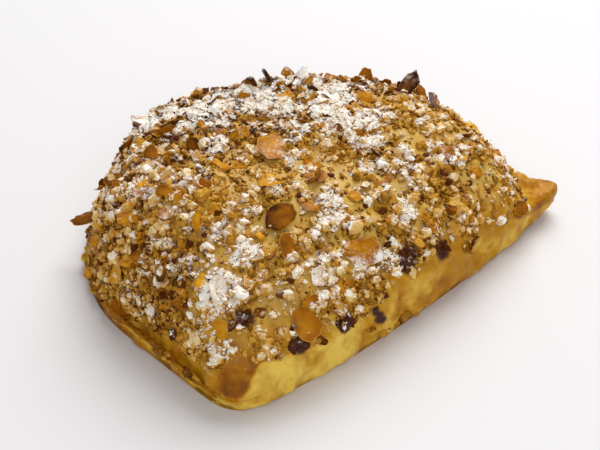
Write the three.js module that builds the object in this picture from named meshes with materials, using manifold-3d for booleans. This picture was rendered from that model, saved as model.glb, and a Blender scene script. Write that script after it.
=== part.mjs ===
import * as THREE from 'three';
import { mergeVertices } from 'three/addons/utils/BufferGeometryUtils.js';
import Module from 'manifold-3d';

// A half-moon turnover of puff pastry, baked under a nut crumble with almond flakes.
// Millimetres, +Z up. X runs along the fold, +Y points to the sealed rim, Z is 0 on the table.

// Outline of the dough
const LENGTH = 142; // along the fold, from tip to tip
const FRONT = 50; // from the crown to the ends of the fold
const FOLD_BOW = 5; // how far the fold swells past its ends
const BACK = 57; // from the crown to the back of the rim
const CROWN_X = -15; // the crown stands nearer to the left tip
const RIM_ROUNDNESS = 2; // exponent of the oval round the back
const POCKET_ROUNDNESS = 3; // exponent of the filled pocket's corners
const LEFT_TIP_ROUNDNESS = 12; // exponent of the fold's left corner
const RIGHT_TIP_ROUNDNESS = 26; // and of its right corner, nearly square
const TIP_ONSET = 6; // how late the pocket's corners draw out into tips
const TIP_PULL = 4; // how far the right tip is drawn out past its corner
const TIP_WIDTH = 0.09; // half of the turn over which that tip is drawn out

// Section of the dough
const CROWN_HEIGHT = 42.5; // top of the crust above the table
const LIP = 5; // thickness of the two sealed layers at the rim
const SEAM = 1.4; // depth of the crease between those layers
const BRIM = 0.95; // share of the way out where the pocket ends and the rim begins
const WAIST = 10; // height of the fold's fullest line
const LEFT_TIP_THICKNESS = 3.5;
const RIGHT_TIP_THICKNESS = 6;
const FOOT = 1.2; // height of the rounded lower edge
const FOLD_FULLNESS = 2.1; // exponent of the pocket's slope down to the fold
const RIM_FULLNESS = 4.5; // exponent of the pocket's slope down to the rim
const FOLD_STEEPNESS = 0.5;
const RIM_STEEPNESS = 0.6;
const TIP_LIFT = 3.5; // the right tip curls off the table
const LIFT_REACH = 40; // how far in from that tip the curl starts
const TIP_FLAP = 28; // the dough lies flat this far in from the right tip
const SWELL = 1.1; // height of the humps that the filling pushes up
const SWELL_SPAN = 47; // from one hump to the next
const SWELL_SHIFT = [1, 2]; // where the first hump lies along X and Y, as angles

// How the section changes round the dough, by the sine of the turn: the rim ends, the fold begins
const FOLD_FROM = 0.35;
const FOLD_TO = 0.8;
const WAIST_FROM = 0.7;
const WAIST_TO = 0.95;
const CORNER_WIDTH = 0.12;

// Facets of the crust
const STEPS_AROUND = 72;
const DOME_RINGS = 11;
const SIDE_RINGS = 2;
const UNDER_RINGS = 3;
const RINGS = DOME_RINGS + SIDE_RINGS + UNDER_RINGS;

// A place on the skin is a turn round the crown and a drop, from 0 at the crown to 3 under the middle
const EDGE_DROP = 1;
const FOOT_DROP = 2;
const BASE_FLATNESS = 3; // exponent that keeps the base flat nearly to the foot

// Topping: it stays off the fold's wall, the rim's edge and the two tips
const TOPPING_LINE = 16; // lowest height of the topping
const BARE_LEFT = 14; // how far the bare dough reaches in from the left tip
const BARE_RIGHT = 22; // and from the right tip
const FLAKE_SPACING = 11.8;
const FLAKE_LENGTH = [7, 12];
const FLAKE_SHAPE = [0.6, 0.85]; // width of a flake as a share of its length
const FLAKE_THICKNESS = 1.1;
const FLAKE_SIDES = 8;
const FLAKE_CURL = 0.9; // rise of a flake's ends over its middle
const FLAKE_LEAN = [0, 40]; // degrees out of the crust, on top of the dome
const LEAN_HEIGHT = 40; // flakes lower than this lean less
const FLAKE_RISE = 0.6; // height of a flat flake's middle over the crust
const LEAN_RISE = 0.3; // share of a leaning flake's half length that comes free

// Flakes that stand out: turn in degrees, drop, length and lean in degrees
const NOTED_FLAKES = [
  { turn: 55, drop: 0.409, length: 13, lean: 60 },
  { turn: 39, drop: 0.368, length: 11, lean: 50 },
  { turn: 356, drop: 0.518, length: 12, lean: 65 },
  { turn: 342, drop: 0.545, length: 13, lean: 45 },
  { turn: 138, drop: 0.75, length: 12, lean: 50 },
  { turn: 105, drop: 0.545, length: 14, lean: 45 },
  { turn: 126, drop: 0.518, length: 10, lean: 40 },
  { turn: 239, drop: 0.341, length: 15, lean: 15 },
  { turn: 242, drop: 0.464, length: 10, lean: 35 },
  { turn: 269, drop: 0.614, length: 16, lean: 5 },
  { turn: 242, drop: 0.777, length: 13, lean: 10 },
  { turn: 285, drop: 0.055, length: 14, lean: 20 },
  { turn: 175, drop: 0.805, length: 12, lean: 5 },
];

const CRUMB_SPACING = 6.7;
const CRUMB_RADIUS = [1.7, 3];
const CRUMB_SQUASH = [0.75, 1.25];
const TRIES = 6000; // places drawn for each kind of topping
const SEED = 20;
const SEED_FACTOR = 1664525;
const SEED_STEP = 1013904223;
const SEED_RANGE = 2 ** 32;
const SLOPE_STEP = 0.004; // step used to measure the slope of the skin
const WELD = 1e-4; // vertices closer than this are one

const UP = new THREE.Vector3(0, 1, 0);
const MIDDLE_Y = (BACK - FRONT - FOLD_BOW) / 2;
const LEFT_TIP = new THREE.Vector2(-LENGTH / 2, -FRONT - MIDDLE_Y);
const RIGHT_TIP = new THREE.Vector2(LENGTH / 2, -FRONT - MIDDLE_Y);

const wasm = await Module();
wasm.setup();

let seed = SEED;

// One number from 0 to 1, the same run of numbers every time
function draw() {
  seed = (seed * SEED_FACTOR + SEED_STEP) % SEED_RANGE;
  return seed / SEED_RANGE;
}

function drawBetween([low, high]) {
  return low + (high - low) * draw();
}

function smoothStep(from, to, value) {
  return THREE.MathUtils.smoothstep(value, from, to);
}

function mix(first, second, share) {
  return first + (second - first) * share;
}

// The dough's outline at a turn round the crown, drawn in by reach: 0 at the crown, 1 at the edge
function outline(turn, reach) {
  const across = Math.cos(turn);
  const along = Math.sin(turn);
  const corner = across > 0 ? RIGHT_TIP_ROUNDNESS : LEFT_TIP_ROUNDNESS;
  const front = mix(POCKET_ROUNDNESS, corner, reach ** TIP_ONSET);
  const power = along >= 0 ? RIM_ROUNDNESS : front;
  const radius = (Math.abs(across) ** power + Math.abs(along) ** power) ** (-1 / power);
  const side = radius * across;
  const half = LENGTH / 2 - Math.sign(across) * CROWN_X;
  const depth = along >= 0 ? BACK : FRONT + FOLD_BOW * (1 - Math.min(Math.abs(side), 1) ** 2);
  const offTip = (Math.atan2(along, across) + Math.PI / 4) / TIP_WIDTH;
  const pull = TIP_PULL * Math.exp(-offTip * offTip) * reach ** TIP_ONSET;
  const x = CROWN_X + reach * side * half + pull;
  return new THREE.Vector2(x, reach * radius * along * depth - MIDDLE_Y);
}

// Share of the fold in the section at a turn: 1 along the fold, 0 round the rim
function foldShare(turn) {
  return smoothStep(FOLD_FROM, FOLD_TO, -Math.sin(turn));
}

// Height of the dough's outer edge: thick along the fold, thin at the tips
function edgeHeight(turn) {
  const along = Math.sin(turn);
  const body = mix(LIP, WAIST, smoothStep(WAIST_FROM, WAIST_TO, -along));
  const offCorner = (Math.abs(Math.cos(turn)) - Math.SQRT1_2) / CORNER_WIDTH;
  const corner = along < 0 ? Math.exp(-offCorner * offCorner) : 0;
  const tip = Math.cos(turn) > 0 ? RIGHT_TIP_THICKNESS : LEFT_TIP_THICKNESS;
  return mix(body, tip, corner);
}

// Height of the dome at a turn and reach
function domeHeight(turn, reach) {
  const fold = foldShare(turn);
  const edge = edgeHeight(turn);
  const inner = Math.min(reach / mix(BRIM, 1, fold), 1);
  const fullness = mix(RIM_FULLNESS, FOLD_FULLNESS, fold);
  const steepness = mix(RIM_STEEPNESS, FOLD_STEEPNESS, fold);
  const flap = smoothStep(0, TIP_FLAP, outline(turn, reach).distanceTo(RIGHT_TIP));
  return edge + (CROWN_HEIGHT - edge) * flap * (1 - inner ** fullness) ** steepness;
}

// Humps of the filling, which die out towards the edge
function swell(place, reach) {
  const pitch = (2 * Math.PI) / SWELL_SPAN;
  const hump = Math.sin(place.x * pitch + SWELL_SHIFT[0]) * Math.sin(place.y * pitch + SWELL_SHIFT[1]);
  return SWELL * (1 - reach * reach) * hump;
}

function tipLift(place) {
  const near = Math.max(0, 1 - place.distanceTo(RIGHT_TIP) / LIFT_REACH);
  return TIP_LIFT * near * near;
}

// A point of the dough's skin
function skin(turn, drop) {
  let reach = 1;
  let height = 0;
  if (drop < EDGE_DROP) {
    reach = Math.sin(drop * (Math.PI / 2));
    height = domeHeight(turn, reach);
  } else if (drop <= FOOT_DROP) {
    const down = drop - EDGE_DROP;
    height = mix(edgeHeight(turn), FOOT, down);
    reach -= (1 - foldShare(turn)) * (SEAM / BACK) * Math.sin(down * Math.PI);
  } else {
    reach = 1 - (drop - FOOT_DROP) ** BASE_FLATNESS;
  }
  const place = outline(turn, reach);
  if (drop < EDGE_DROP) height += swell(place, reach);
  return new THREE.Vector3(place.x, place.y, height + tipLift(place));
}

// The way out of the dome at a turn and drop
function outward(turn, drop) {
  const around = skin(turn + SLOPE_STEP, drop).sub(skin(turn - SLOPE_STEP, drop));
  const lower = skin(turn, Math.min(drop + SLOPE_STEP, EDGE_DROP));
  const down = lower.sub(skin(turn, Math.max(drop - SLOPE_STEP, 0)));
  return down.cross(around).normalize();
}

// The drop at which a ring of facets lies
function ringDrop(ring) {
  if (ring <= DOME_RINGS) return ring / DOME_RINGS;
  const below = ring - DOME_RINGS;
  if (below <= SIDE_RINGS) return EDGE_DROP + below / SIDE_RINGS;
  return FOOT_DROP + (below - SIDE_RINGS) / UNDER_RINGS;
}

// The dough: a globe whose rings are moved onto the skin
function crustGeometry() {
  const globe = new THREE.SphereGeometry(1, STEPS_AROUND, RINGS);
  const places = globe.attributes.position;
  for (let i = 0; i < places.count; i += 1) {
    const turn = Math.atan2(places.getX(i), places.getZ(i));
    const fall = Math.acos(THREE.MathUtils.clamp(places.getY(i), -1, 1)) / Math.PI;
    const point = skin(turn, ringDrop(Math.round(fall * RINGS)));
    places.setXYZ(i, point.x, point.y, point.z);
  }
  return globe;
}

// True where topping lies on the dome
function isCovered(point) {
  const place = new THREE.Vector2(point.x, point.y);
  const offLeft = place.distanceTo(LEFT_TIP) > BARE_LEFT;
  const offRight = place.distanceTo(RIGHT_TIP) > BARE_RIGHT;
  return point.z > TOPPING_LINE && offLeft && offRight;
}

// Places on the dome at least a spacing apart, and apart from the ones already taken
function scatter(spacing, taken) {
  const spots = [];
  for (let i = 0; i < TRIES; i += 1) {
    const turn = draw() * 2 * Math.PI;
    const drop = draw();
    const point = skin(turn, drop);
    const crowded = [...taken, ...spots].some((spot) => spot.point.distanceTo(point) < spacing);
    if (isCovered(point) && !crowded) spots.push({ turn, drop, point });
  }
  return spots;
}

// The flakes that stand out, then an even scatter of the rest round them
function flakeSpots() {
  const noted = NOTED_FLAKES.map(({ turn, drop, length, lean }) => {
    const radians = THREE.MathUtils.degToRad(turn);
    return { turn: radians, drop, point: skin(radians, drop), length, lean };
  });
  const others = scatter(FLAKE_SPACING, noted).map((spot) => {
    const lean = drawBetween(FLAKE_LEAN) * Math.min(spot.point.z / LEAN_HEIGHT, 1) ** 2;
    return { ...spot, length: drawBetween(FLAKE_LENGTH), lean };
  });
  return [...noted, ...others];
}

// An almond flake: a thin oval disc, curled up at its ends and leaning out of the crumble
function flakeGeometry({ turn, drop, point, length, lean }) {
  const half = length / 2;
  const tilt = THREE.MathUtils.degToRad(lean);
  const flake = new THREE.CylinderGeometry(1, 1, FLAKE_THICKNESS, FLAKE_SIDES);
  flake.scale(half, 1, half * drawBetween(FLAKE_SHAPE));
  const places = flake.attributes.position;
  for (let i = 0; i < places.count; i += 1) {
    const out = places.getX(i) / half;
    places.setY(i, places.getY(i) + FLAKE_CURL * out * out);
  }
  const normal = outward(turn, drop);
  const rise = FLAKE_RISE + LEAN_RISE * half * Math.sin(tilt);
  flake.rotateY(draw() * 2 * Math.PI);
  flake.rotateZ(tilt);
  flake.rotateY(draw() * 2 * Math.PI);
  flake.applyQuaternion(new THREE.Quaternion().setFromUnitVectors(UP, normal));
  flake.translate(...point.clone().addScaledVector(normal, rise).toArray());
  return flake;
}

// A crumb of the nut crumble, sunk to its middle in the crust
function crumbGeometry({ point }) {
  const crumb = new THREE.IcosahedronGeometry(drawBetween(CRUMB_RADIUS));
  crumb.scale(drawBetween(CRUMB_SQUASH), drawBetween(CRUMB_SQUASH), drawBetween(CRUMB_SQUASH));
  crumb.rotateX(draw() * Math.PI);
  crumb.rotateZ(draw() * Math.PI);
  crumb.translate(point.x, point.y, point.z);
  return crumb;
}

function toSolid(geometry) {
  geometry.deleteAttribute('normal');
  geometry.deleteAttribute('uv');
  const merged = mergeVertices(geometry, WELD);
  const vertProperties = new Float32Array(merged.attributes.position.array);
  const triVerts = new Uint32Array(merged.index.array);
  return new wasm.Manifold(new wasm.Mesh({ numProp: 3, vertProperties, triVerts }));
}

// Joins the solids, and keeps the outer skin without sealed hollows and loose scraps
function fuse(solids) {
  const joined = wasm.Manifold.union(solids);
  const bodies = joined.decompose();
  bodies.sort((first, second) => second.volume() - first.volume());
  return bodies[0];
}

function toGeometry(solid) {
  const mesh = solid.getMesh();
  const geometry = new THREE.BufferGeometry();
  geometry.setAttribute('position', new THREE.BufferAttribute(mesh.vertProperties, mesh.numProp));
  geometry.setIndex(new THREE.BufferAttribute(mesh.triVerts, 1));
  geometry.computeVertexNormals();
  return geometry;
}

function pastryMesh() {
  const spots = flakeSpots();
  const flakes = spots.map(flakeGeometry);
  const crumbs = scatter(CRUMB_SPACING, spots).map(crumbGeometry);
  const solid = fuse([crustGeometry(), ...flakes, ...crumbs].map(toSolid));
  const baked = new THREE.MeshStandardMaterial({ color: 0xb98f4e, roughness: 0.7, metalness: 0 });
  const mesh = new THREE.Mesh(toGeometry(solid), baked);
  mesh.name = 'pastry';
  return mesh;
}

const turnover = new THREE.Group();
turnover.add(pastryMesh());

export default turnover;
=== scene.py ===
import math

import bmesh
import bpy
import numpy as np
from mathutils import Matrix, Vector


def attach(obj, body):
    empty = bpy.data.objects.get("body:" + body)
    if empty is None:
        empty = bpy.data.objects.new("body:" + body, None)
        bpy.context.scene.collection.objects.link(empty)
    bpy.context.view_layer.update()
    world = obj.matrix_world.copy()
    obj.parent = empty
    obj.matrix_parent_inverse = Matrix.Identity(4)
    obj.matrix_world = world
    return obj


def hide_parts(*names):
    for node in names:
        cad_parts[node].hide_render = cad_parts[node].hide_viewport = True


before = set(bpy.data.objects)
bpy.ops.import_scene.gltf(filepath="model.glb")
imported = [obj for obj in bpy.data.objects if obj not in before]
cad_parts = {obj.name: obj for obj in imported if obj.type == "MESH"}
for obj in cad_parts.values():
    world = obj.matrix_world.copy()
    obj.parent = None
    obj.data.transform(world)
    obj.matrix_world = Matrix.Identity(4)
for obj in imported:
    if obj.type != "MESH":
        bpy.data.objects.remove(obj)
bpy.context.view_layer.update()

bl_info = {
    "name": "Puff Pastry Turnover",
    "version": (1, 0, 0),
    "blender": (4, 5, 0),
    "location": "View3D > Sidebar > Turnover",
    "description": "Builds a half-moon turnover: its crust, almond flakes, nut crumble and icing sugar",
    "category": "Add Mesh",
}

BODY = "root"
MM = 0.001

# Form of the dough: exponents of its outline and section, and shares of the turn where they change
RIM_ROUNDNESS = 2
POCKET_ROUNDNESS = 3
LEFT_TIP_ROUNDNESS = 12
RIGHT_TIP_ROUNDNESS = 26
TIP_ONSET = 6
TIP_WIDTH = 0.09
BRIM = 0.95
FOLD_FULLNESS = 2.1
RIM_FULLNESS = 4.5
FOLD_STEEPNESS = 0.5
RIM_STEEPNESS = 0.6
SWELL_SHIFT = (1, 2)
FOLD_FROM = 0.35
FOLD_TO = 0.8
WAIST_FROM = 0.7
WAIST_TO = 0.95
CORNER_WIDTH = 0.12
BASE_FLATNESS = 3

# A place on the skin is a turn round the crown and a drop, from 0 at the crown to 3 under the middle
EDGE_DROP = 1
FOOT_DROP = 2
SLOPE_STEP = 0.004

# Mesh of the crust
STEPS_AROUND = 600
DOME_RINGS = 140
SIDE_RINGS = 18
UNDER_RINGS = 6
RINGS = DOME_RINGS + SIDE_RINGS + UNDER_RINGS
EDGE_STEPS = 4001

# The run of numbers that places the largest flakes and crumbs
SEED = 20
SEED_FACTOR = 1664525
SEED_STEP = 1013904223
SEED_RANGE = 2 ** 32
TRIES = 6000

# Grid from which places for crumbs are drawn, by turn and by drop
DRAW_COLUMNS = 360
DRAW_ROWS = 150

# Lattice of random numbers that waves and grains are read from
LATTICE = 64

# In all that follows, a range is where something starts and where it is complete, and waves are random
# ripples: rows of strength, span in mm and seed

# Skirt: the stretch of the fold where glaze ran down the wall
SKIRT_X = 4 * MM
SKIRT_HALF = (24 * MM, 16 * MM)
SKIRT_SIDES = ((3.5, 7, 51),)
SKIRT_HEM = ((1.2, 5, 65), (0.8, 2, 66))
SKIRT_HEIGHT = (2.2 * MM, 3.4 * MM)
SKIRT_RISE = 1.0 * MM

# Pale wall of the fold: its height in the middle and at the tips, and how far the tips count
WALL = 14 * MM
LEFT_WALL = 2 * MM
RIGHT_WALL = 6 * MM
LEFT_WALL_REACH = (0, 13 * MM)
RIGHT_WALL_REACH = (0, 44 * MM)
WALL_FRONT = (-40 * MM, -48 * MM)
WALL_WAVES = ((0.9, 8, 61),)
WALL_WRINKLES = ((1.3, 3.6, 62), (0.5, 1.7, 69))
WRINKLE_STRETCH = (1, 1, 0.6)

# Glazed lid above the wall: its edge, and how far it browns at the tips
LID_RISE = 0.45 * MM
LID_STEP = 0.8 * MM
LID_EDGE = ((1.2, 7, 51), (0.5, 2.5, 52))
LID_BLUR = (3.5 * MM, 0.7 * MM)
LEFT_BROWN = 30 * MM
RIGHT_BROWN = 26 * MM
BROWN_FROM = (-0.5 * MM, 0.3 * MM)
BROWN_TO = (5.5 * MM, 0.5 * MM)
LEFT_END = 12 * MM
RIGHT_END = 13 * MM
WALL_ENDS = (-60 * MM, 50 * MM)
MOTTLE = ((0.16, 11, 53), (0.15, 4, 55), (0.1, 1.6, 56))

# Sealed rim, by drop: its frilled edge, the crease, the layer below, a split in that layer and the foot
FRILL_DROP = 0.99
FRILL_WIDTH = 0.07
FRILL_WAVES = ((0.9, 5, 64), (0.5, 2, 67))
CREASE_DROP = 1.12
CREASE_WIDTH = 0.06
LAYER_FULLNESS = 1.1
LAYER_WAVES = ((1.2, 5, 63), (0.5, 2, 68))
SPLIT_DROP = 1.55
SPLIT_WIDTH = 0.05
SPLIT_DEPTH = 0.7 * MM
SPLIT_WAVES = ((0.12, 9, 60),)
EDGE_STAIN = (0.86, 0.97)
EDGE_WAVES = ((0.03, 6, 54),)
# Width of the painted shade along the crease
CREASE_SHADE_WIDTH = 0.05
LAYER_FROM = (1.04, 1.14)
FOOT_STAIN = (1.5, 1.95)
FOOT_WAVES = ((0.15, 4, 57),)

# Near the left tip the rim's stains shift by these drops
CORNER_REACH = 42 * MM
CORNER_EDGE = 0.06
CORNER_CREASE = 0.04
CORNER_FOOT = 0.25

# Edge of the topping: how it falls at the tips, and how it keeps off the lid's edge and the left corner
TOPPING_EDGE = ((2.5, 6, 11),)
TOPPING_FADE = (-1.2 * MM, 1.2 * MM)
TIP_FADE = (0, 4 * MM)
LEFT_FALL = 1.8
LEFT_FALL_REACH = 18 * MM
RIGHT_FALL_REACH = 38 * MM
LID_BARE = 0.5 * MM
CORNER_RISE = 6 * MM
CORNER_RISE_REACH = 36 * MM

# Fused grains of the topping: lumps, and small grains on them
LUMP_SPAN = 4.0 * MM
LUMP_HEIGHT = 2.2 * MM
LUMP_LEVEL = 0.55
LUMP_SEED = 31
LUMP_TOP = (0.75, 0.2)
GRAIN_SPAN = 1.9 * MM
GRAIN_HEIGHT = 0.5 * MM
GRAIN_LEVEL = 0.6
GRAIN_SEED = 32
# Gaps between grains, where painted shade darkens the crust: their width, and how much the small ones count
GRAIN_GAP = (0.3, 0.0)
SMALL_GAP = 0.6

# Clumps of crumble, the front slope that is open between them, and glaze that shows there
CLUMP_SEEDS = (21, 22)
CLUMP_DETAIL = 0.5
CLUMP_FADE = (-0.35, 0.5)
OPEN_Y = (16 * MM, -14 * MM)
SHUT_LEFT_X = (-42 * MM, -58 * MM)
SHUT_LEFT_Y = (-36 * MM, -14 * MM)
SHUT_PILE = 0.7
# How much weaker the painted shade in the crust's gaps is on the open slope
OPEN_GAP = 0.6
FILM_HEIGHT = (16 * MM, 28 * MM)

# Ragged edges of the burnt spots and of the heaps
SPOT_EDGE = ((0.35, 2.5, 71),)
SPOT_FADE = (-0.15, 0.25)
HEAP_EDGE = ((0.4, 5, 23), (0.3, 2.2, 24))
HEAP_FADE = (-0.1, 0.55)

# Almond flakes: the power that flattens their faces, and the lean from which they stand on edge
FLAKE_SEED = 81
FLAKE_FLATNESS = 0.3
STANDING = math.radians(42)
STANDING_WIDTH = 0.65
STANDING_RISE = 0.3
FLAT_SCALE = 0.86
LOOSE_SCALE = (0.6, 0.95)
FLAKE_LEAN = 40
FLAKE_LEAN_HEIGHT = 40 * MM
FLAKE_WIDTH = (0.6, 0.85)
FLAKE_CHOP = (0.1, 1.2)
FLAKE_TONE = (0.0, 0.6)
FLAKE_SINK = (0.2, 1.4)
FLAKE_UNEVEN = 0.11
FLAKE_POINT = 0.28
FLAKE_TAPER = 0.45
FLAKE_BEND = (0.3, 1.6)
FLAKE_TWIST = 0.5
FLAKE_WARP = 0.25 * MM
FLAKE_FLOOR = 0.2 * MM
FLAKE_CREASE = math.radians(32)
FLAKE_RIM = (0.3, 1.0)
TOAST_LENGTHWISE = 0.16
TOAST_BLOTCHES = ((0.22, 3.5, 82), (0.12, 1.6, 83))
DUSTY_SHARE = 0.25
DUSTY = 0.5

# Broken flakes between them: half their length in mm, width, lean in degrees, chop, tone, and how many
# fewer lie on the open slope
SPLINTER_HALF = (1.8, 3.8)
SPLINTER_WIDTH = (0.5, 0.9)
SPLINTER_LEAN = (10, 75)
SPLINTER_CHOP = (0.0, 1.1)
SPLINTER_TONE = (0.1, 0.85)
SPLINTER_FEWER = 0.7

# Large crumbs: lumps in each, size and lift of those lumps as shares of the crumb, and draws that the
# solid spends on its own facets
CLUSTER = 6
CLUSTER_PART = (0.3, 0.55)
CLUSTER_MAIN = 0.7
CLUSTER_LIFT = (-0.3, 0.3)
CLUSTER_SPREAD = 0.45
FACET_DRAWS = 5

# Radii in mm of the three kinds of crumb, how much browner the small ones are, and their seeds
NUT_RADIUS = (0.8, 1.7)
TOASTED_RADIUS = (0.55, 1.3)
FINE_RADIUS = (0.3, 0.75)
SMALL_TONE = 0.05
NUT_SEED = 91
TOASTED_SEED = 92
FINE_SEED = 93

# Crumbs: how few lie on bare glaze, how sizes fall off, how deep they sit and how uneven they are
GLAZE_DENSITY = 0.28
CRUMB_FALL_OFF = 1.6
CRUMB_SEAT = (-0.6, 0.35)
CRUMB_UNEVEN = 0.3
CRUMB_STRETCH = (0.45, 1.45)

# Painted shade between crumbs, towards brown: by height over the bed, off the tops of lumps, and by place
CREVICE = (0.5 * MM, -0.3 * MM)
CREVICE_SIDE = 0.45
CREVICE_LEFT_X = (-20 * MM, -50 * MM)
CREVICE_SHUT = 1.35
CREVICE_OPEN = 1.0
CREVICE_LEFT = 0.8

# Tone of crumbs: their spread, and how it shifts by place
TONE_SPREAD = 0.5
TONE_BASE = -0.14
TONE_SHUT = 0.16
TONE_LEFT = -0.24
TONE_LEFT_X = (-20 * MM, -55 * MM)
TONE_LEFT_Y = (-20 * MM, 10 * MM)
TONE_CORNER = 0.8
TONE_CORNER_REACH = 26 * MM
SCORCHED = (0.85, 1.05)
SCORCHED_SHUT = 0.14
SCORCHED_TONE = 0.5
BURNT_TONE = 0.9

# Burnt drops: how many to a spot, how they spread, millimetres to a radian of turn and to a whole drop,
# and their form
BURNT_SEED = 101
BURNT_COUNT = 6
BURNT_SPREAD = 0.4
BURNT_TURN = 55
BURNT_DROP = 75
BURNT_SIZE = (0.2, 0.45)
BURNT_UNEVEN = 0.18
BURNT_STRETCH = (0.7, 1.3)
BURNT_FLATTEN = 0.75
BURNT_RISE = 0.3 * MM
BURNT_LIMIT = 0.99

# Scraps of crust: how many to a place, how they spread, and their form
SCRAP_SEED = 105
SCRAP_COUNT = 5
SCRAP_SPREAD = 0.06
SCRAP_HEIGHT = 1.2 * MM
SCRAP_FLOOR = 0.1 * MM
SCRAP_SIZE = (0.4, 0.9)
SCRAP_UNEVEN = 0.2
SCRAP_STRETCH = (0.35, 1.4)
SCRAP_TONE = 0.15

# Icing sugar: how much falls everywhere, and how much more by the left corner, high up, on the noted
# heaps, on the high ones, in patches and on the tops of lumps
SUGAR_ALL = 0.11
SUGAR_CORNER = 0.08
SUGAR_CORNER_OFF = 20 * MM
SUGAR_CORNER_REACH = 15 * MM
SUGAR_HIGH = 0.07
SUGAR_HEIGHT = (16 * MM, 40 * MM)
SUGAR_HEAP = 0.3
SUGAR_HIGH_HEAP = 0.12
SUGAR_PATCH = 0.17
SUGAR_PATCHES = ((1, 11, 41), (0.8, 5, 42), (0.9, 2.4, 45))
SUGAR_LUMP = 0.34
SUGAR_BARE = 0.3

# Grid on which the height of the topping is taken, and what lies open to the sky on it
CELL = 0.6 * MM
CELLS = 300
SKY = (-1.8 * MM, -0.5 * MM)
SHELTER = 0.7
SHELTER_SLOPE = 3

# Loose grains of sugar: where they lie, their radius in mm, and their form
SUGAR_SEED = 111
DUSTED = ("crust", "almond_flakes", "nut_bits", "toasted_bits", "fine_crumbs", "burnt_drops")
GRAIN_FACING = (0.2, 0.8)
GRAIN_LOWEST = (9 * MM, 13 * MM)
GRAIN_LEAST = 0.35
GRAIN_RADIUS = (0.12, 0.32)
GRAIN_LIFT = 0.1 * MM
GRAIN_SPREAD = 0.2 * MM
GRAIN_UNEVEN = (0.6, 1.3)

# Drifts of sugar: how deep they lie in the topping, where they lie, and how their edges sink
DRIFT_DEPTH = 1.6 * MM
DRIFT_EDGE = ((0.15, 1.5, 43),)
DRIFT_SLOPE = (2.2, 1.2)
DRIFT_LOWEST = 14 * MM
DRIFT_WAVES = ((0.25, 1.2, 44),)
DRIFT_SINK = 1.6 * MM
DRIFT_SINK_FROM = (0.75, 0.45)
DRIFT_LEAST = 0.38
DRIFT_THICKNESS = 0.8 * MM

# Flakes that stand out: turn in degrees, drop, length in mm, lean in degrees, tone (0 is pale, 1 is
# scorched) and dust (-1 is clean, 1 is white)
NOTED_FLAKES = (
    (55, 0.409, 13, 60, 0.95, 0.0),
    (39, 0.368, 11, 50, 0.85, 0.2),
    (356, 0.518, 12, 65, 0.85, 0.0),
    (342, 0.545, 13, 45, 0.8, 0.0),
    (138, 0.75, 12, 50, 0.7, -1),
    (105, 0.545, 14, 45, 0.6, 0.8),
    (126, 0.518, 10, 40, 0.65, 0.2),
    (239, 0.341, 15, 15, 0.8, -1),
    (242, 0.464, 10, 35, 0.6, -1),
    (269, 0.614, 16, 5, 0.3, 0.6),
    (242, 0.777, 13, 10, 0.35, -1),
    (285, 0.055, 14, 20, 0.35, 0.2),
    (175, 0.805, 12, 5, 0.55, -1),
)

# Broad heaps of crumble under icing sugar: turn in degrees, drop, and radius in mm
HEAPS = (
    (60, 0.3, 12), (20, 0.3, 11), (90, 0.3, 10), (40, 0.4, 9), (105, 0.45, 8), (140, 0.15, 6),
    (345, 0.2, 9), (330, 0.3, 9), (310, 0.3, 9), (310, 0.5, 7), (270, 0.4, 8), (285, 0.6, 5),
    (275, 0.75, 6), (225, 0.45, 7), (220, 0.6, 8), (220, 0.8, 6),
)

# Where the topping lies thicker or thinner: turn in degrees, drop, radius in mm and rise in mm
SWELLS = (
    (92, 0.53, 15, 2.2), (30, 0.5, 17, -2.2), (325, 0.7, 12, -2.0), (350, 0.59, 12, 1.0),
    (120, 0.66, 12, -0.8), (155, 0.75, 16, -1.0),
)

# Burnt sugar: turn in degrees, drop and radius in mm
BURNT_SPOTS = (
    (241, 0.82, 4.2),
    (240, 0.875, 3.0),
    (255, 0.91, 3.4),
    (279, 0.775, 4.6),
    (288, 0.84, 3.2),
    (226, 0.66, 3.2),
    (204, 0.775, 2.4),
    (266, 0.93, 1.6),
    (267, 0.98, 1.8),
    (268, 1.05, 1.8),
    (269, 1.14, 1.5),
)

# Scraps of crust at the foot and the rim: turn in degrees, drop, radius in mm and tone
SCRAPS = (
    (198, 1.2, 2.0, 0.9), (210, 1.2, 2.2, 0.95), (211, 1.5, 1.5, 0.8), (266, 1.3, 1.4, 0.9),
    (271, 1.7, 1.5, 0.7), (274, 1.8, 1.2, 0.5), (276, 1.75, 2.6, 0.75), (279, 1.8, 1.6, 0.6),
    (283, 1.7, 1.5, 0.4), (290, 1.75, 1.2, 0.5),
)


def linear(code):
    """Linear RGBA of an sRGB hex colour."""
    channels = [int(code[i:i + 2], 16) / 255 for i in (0, 2, 4)]
    bright = [c / 12.92 if c <= 0.04045 else ((c + 0.055) / 1.055) ** 2.4 for c in channels]
    return (*bright, 1.0)


def size(name, description, millimetres):
    """A length that a user may change, stated in millimetres."""
    return bpy.props.FloatProperty(
        name=name, description=description, default=millimetres * MM, unit="LENGTH", precision=4
    )


def share(name, description, value):
    """A plain number that a user may change."""
    return bpy.props.FloatProperty(name=name, description=description, default=value)


def colour(name, description, code):
    """A colour that a user may change, stated as sRGB hex."""
    return bpy.props.FloatVectorProperty(
        name=name, description=description, subtype="COLOR", size=4, min=0, max=1, default=linear(code)
    )


def number(name, description, value):
    """A count that a user may change."""
    return bpy.props.IntProperty(name=name, description=description, default=value, min=0)


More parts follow.
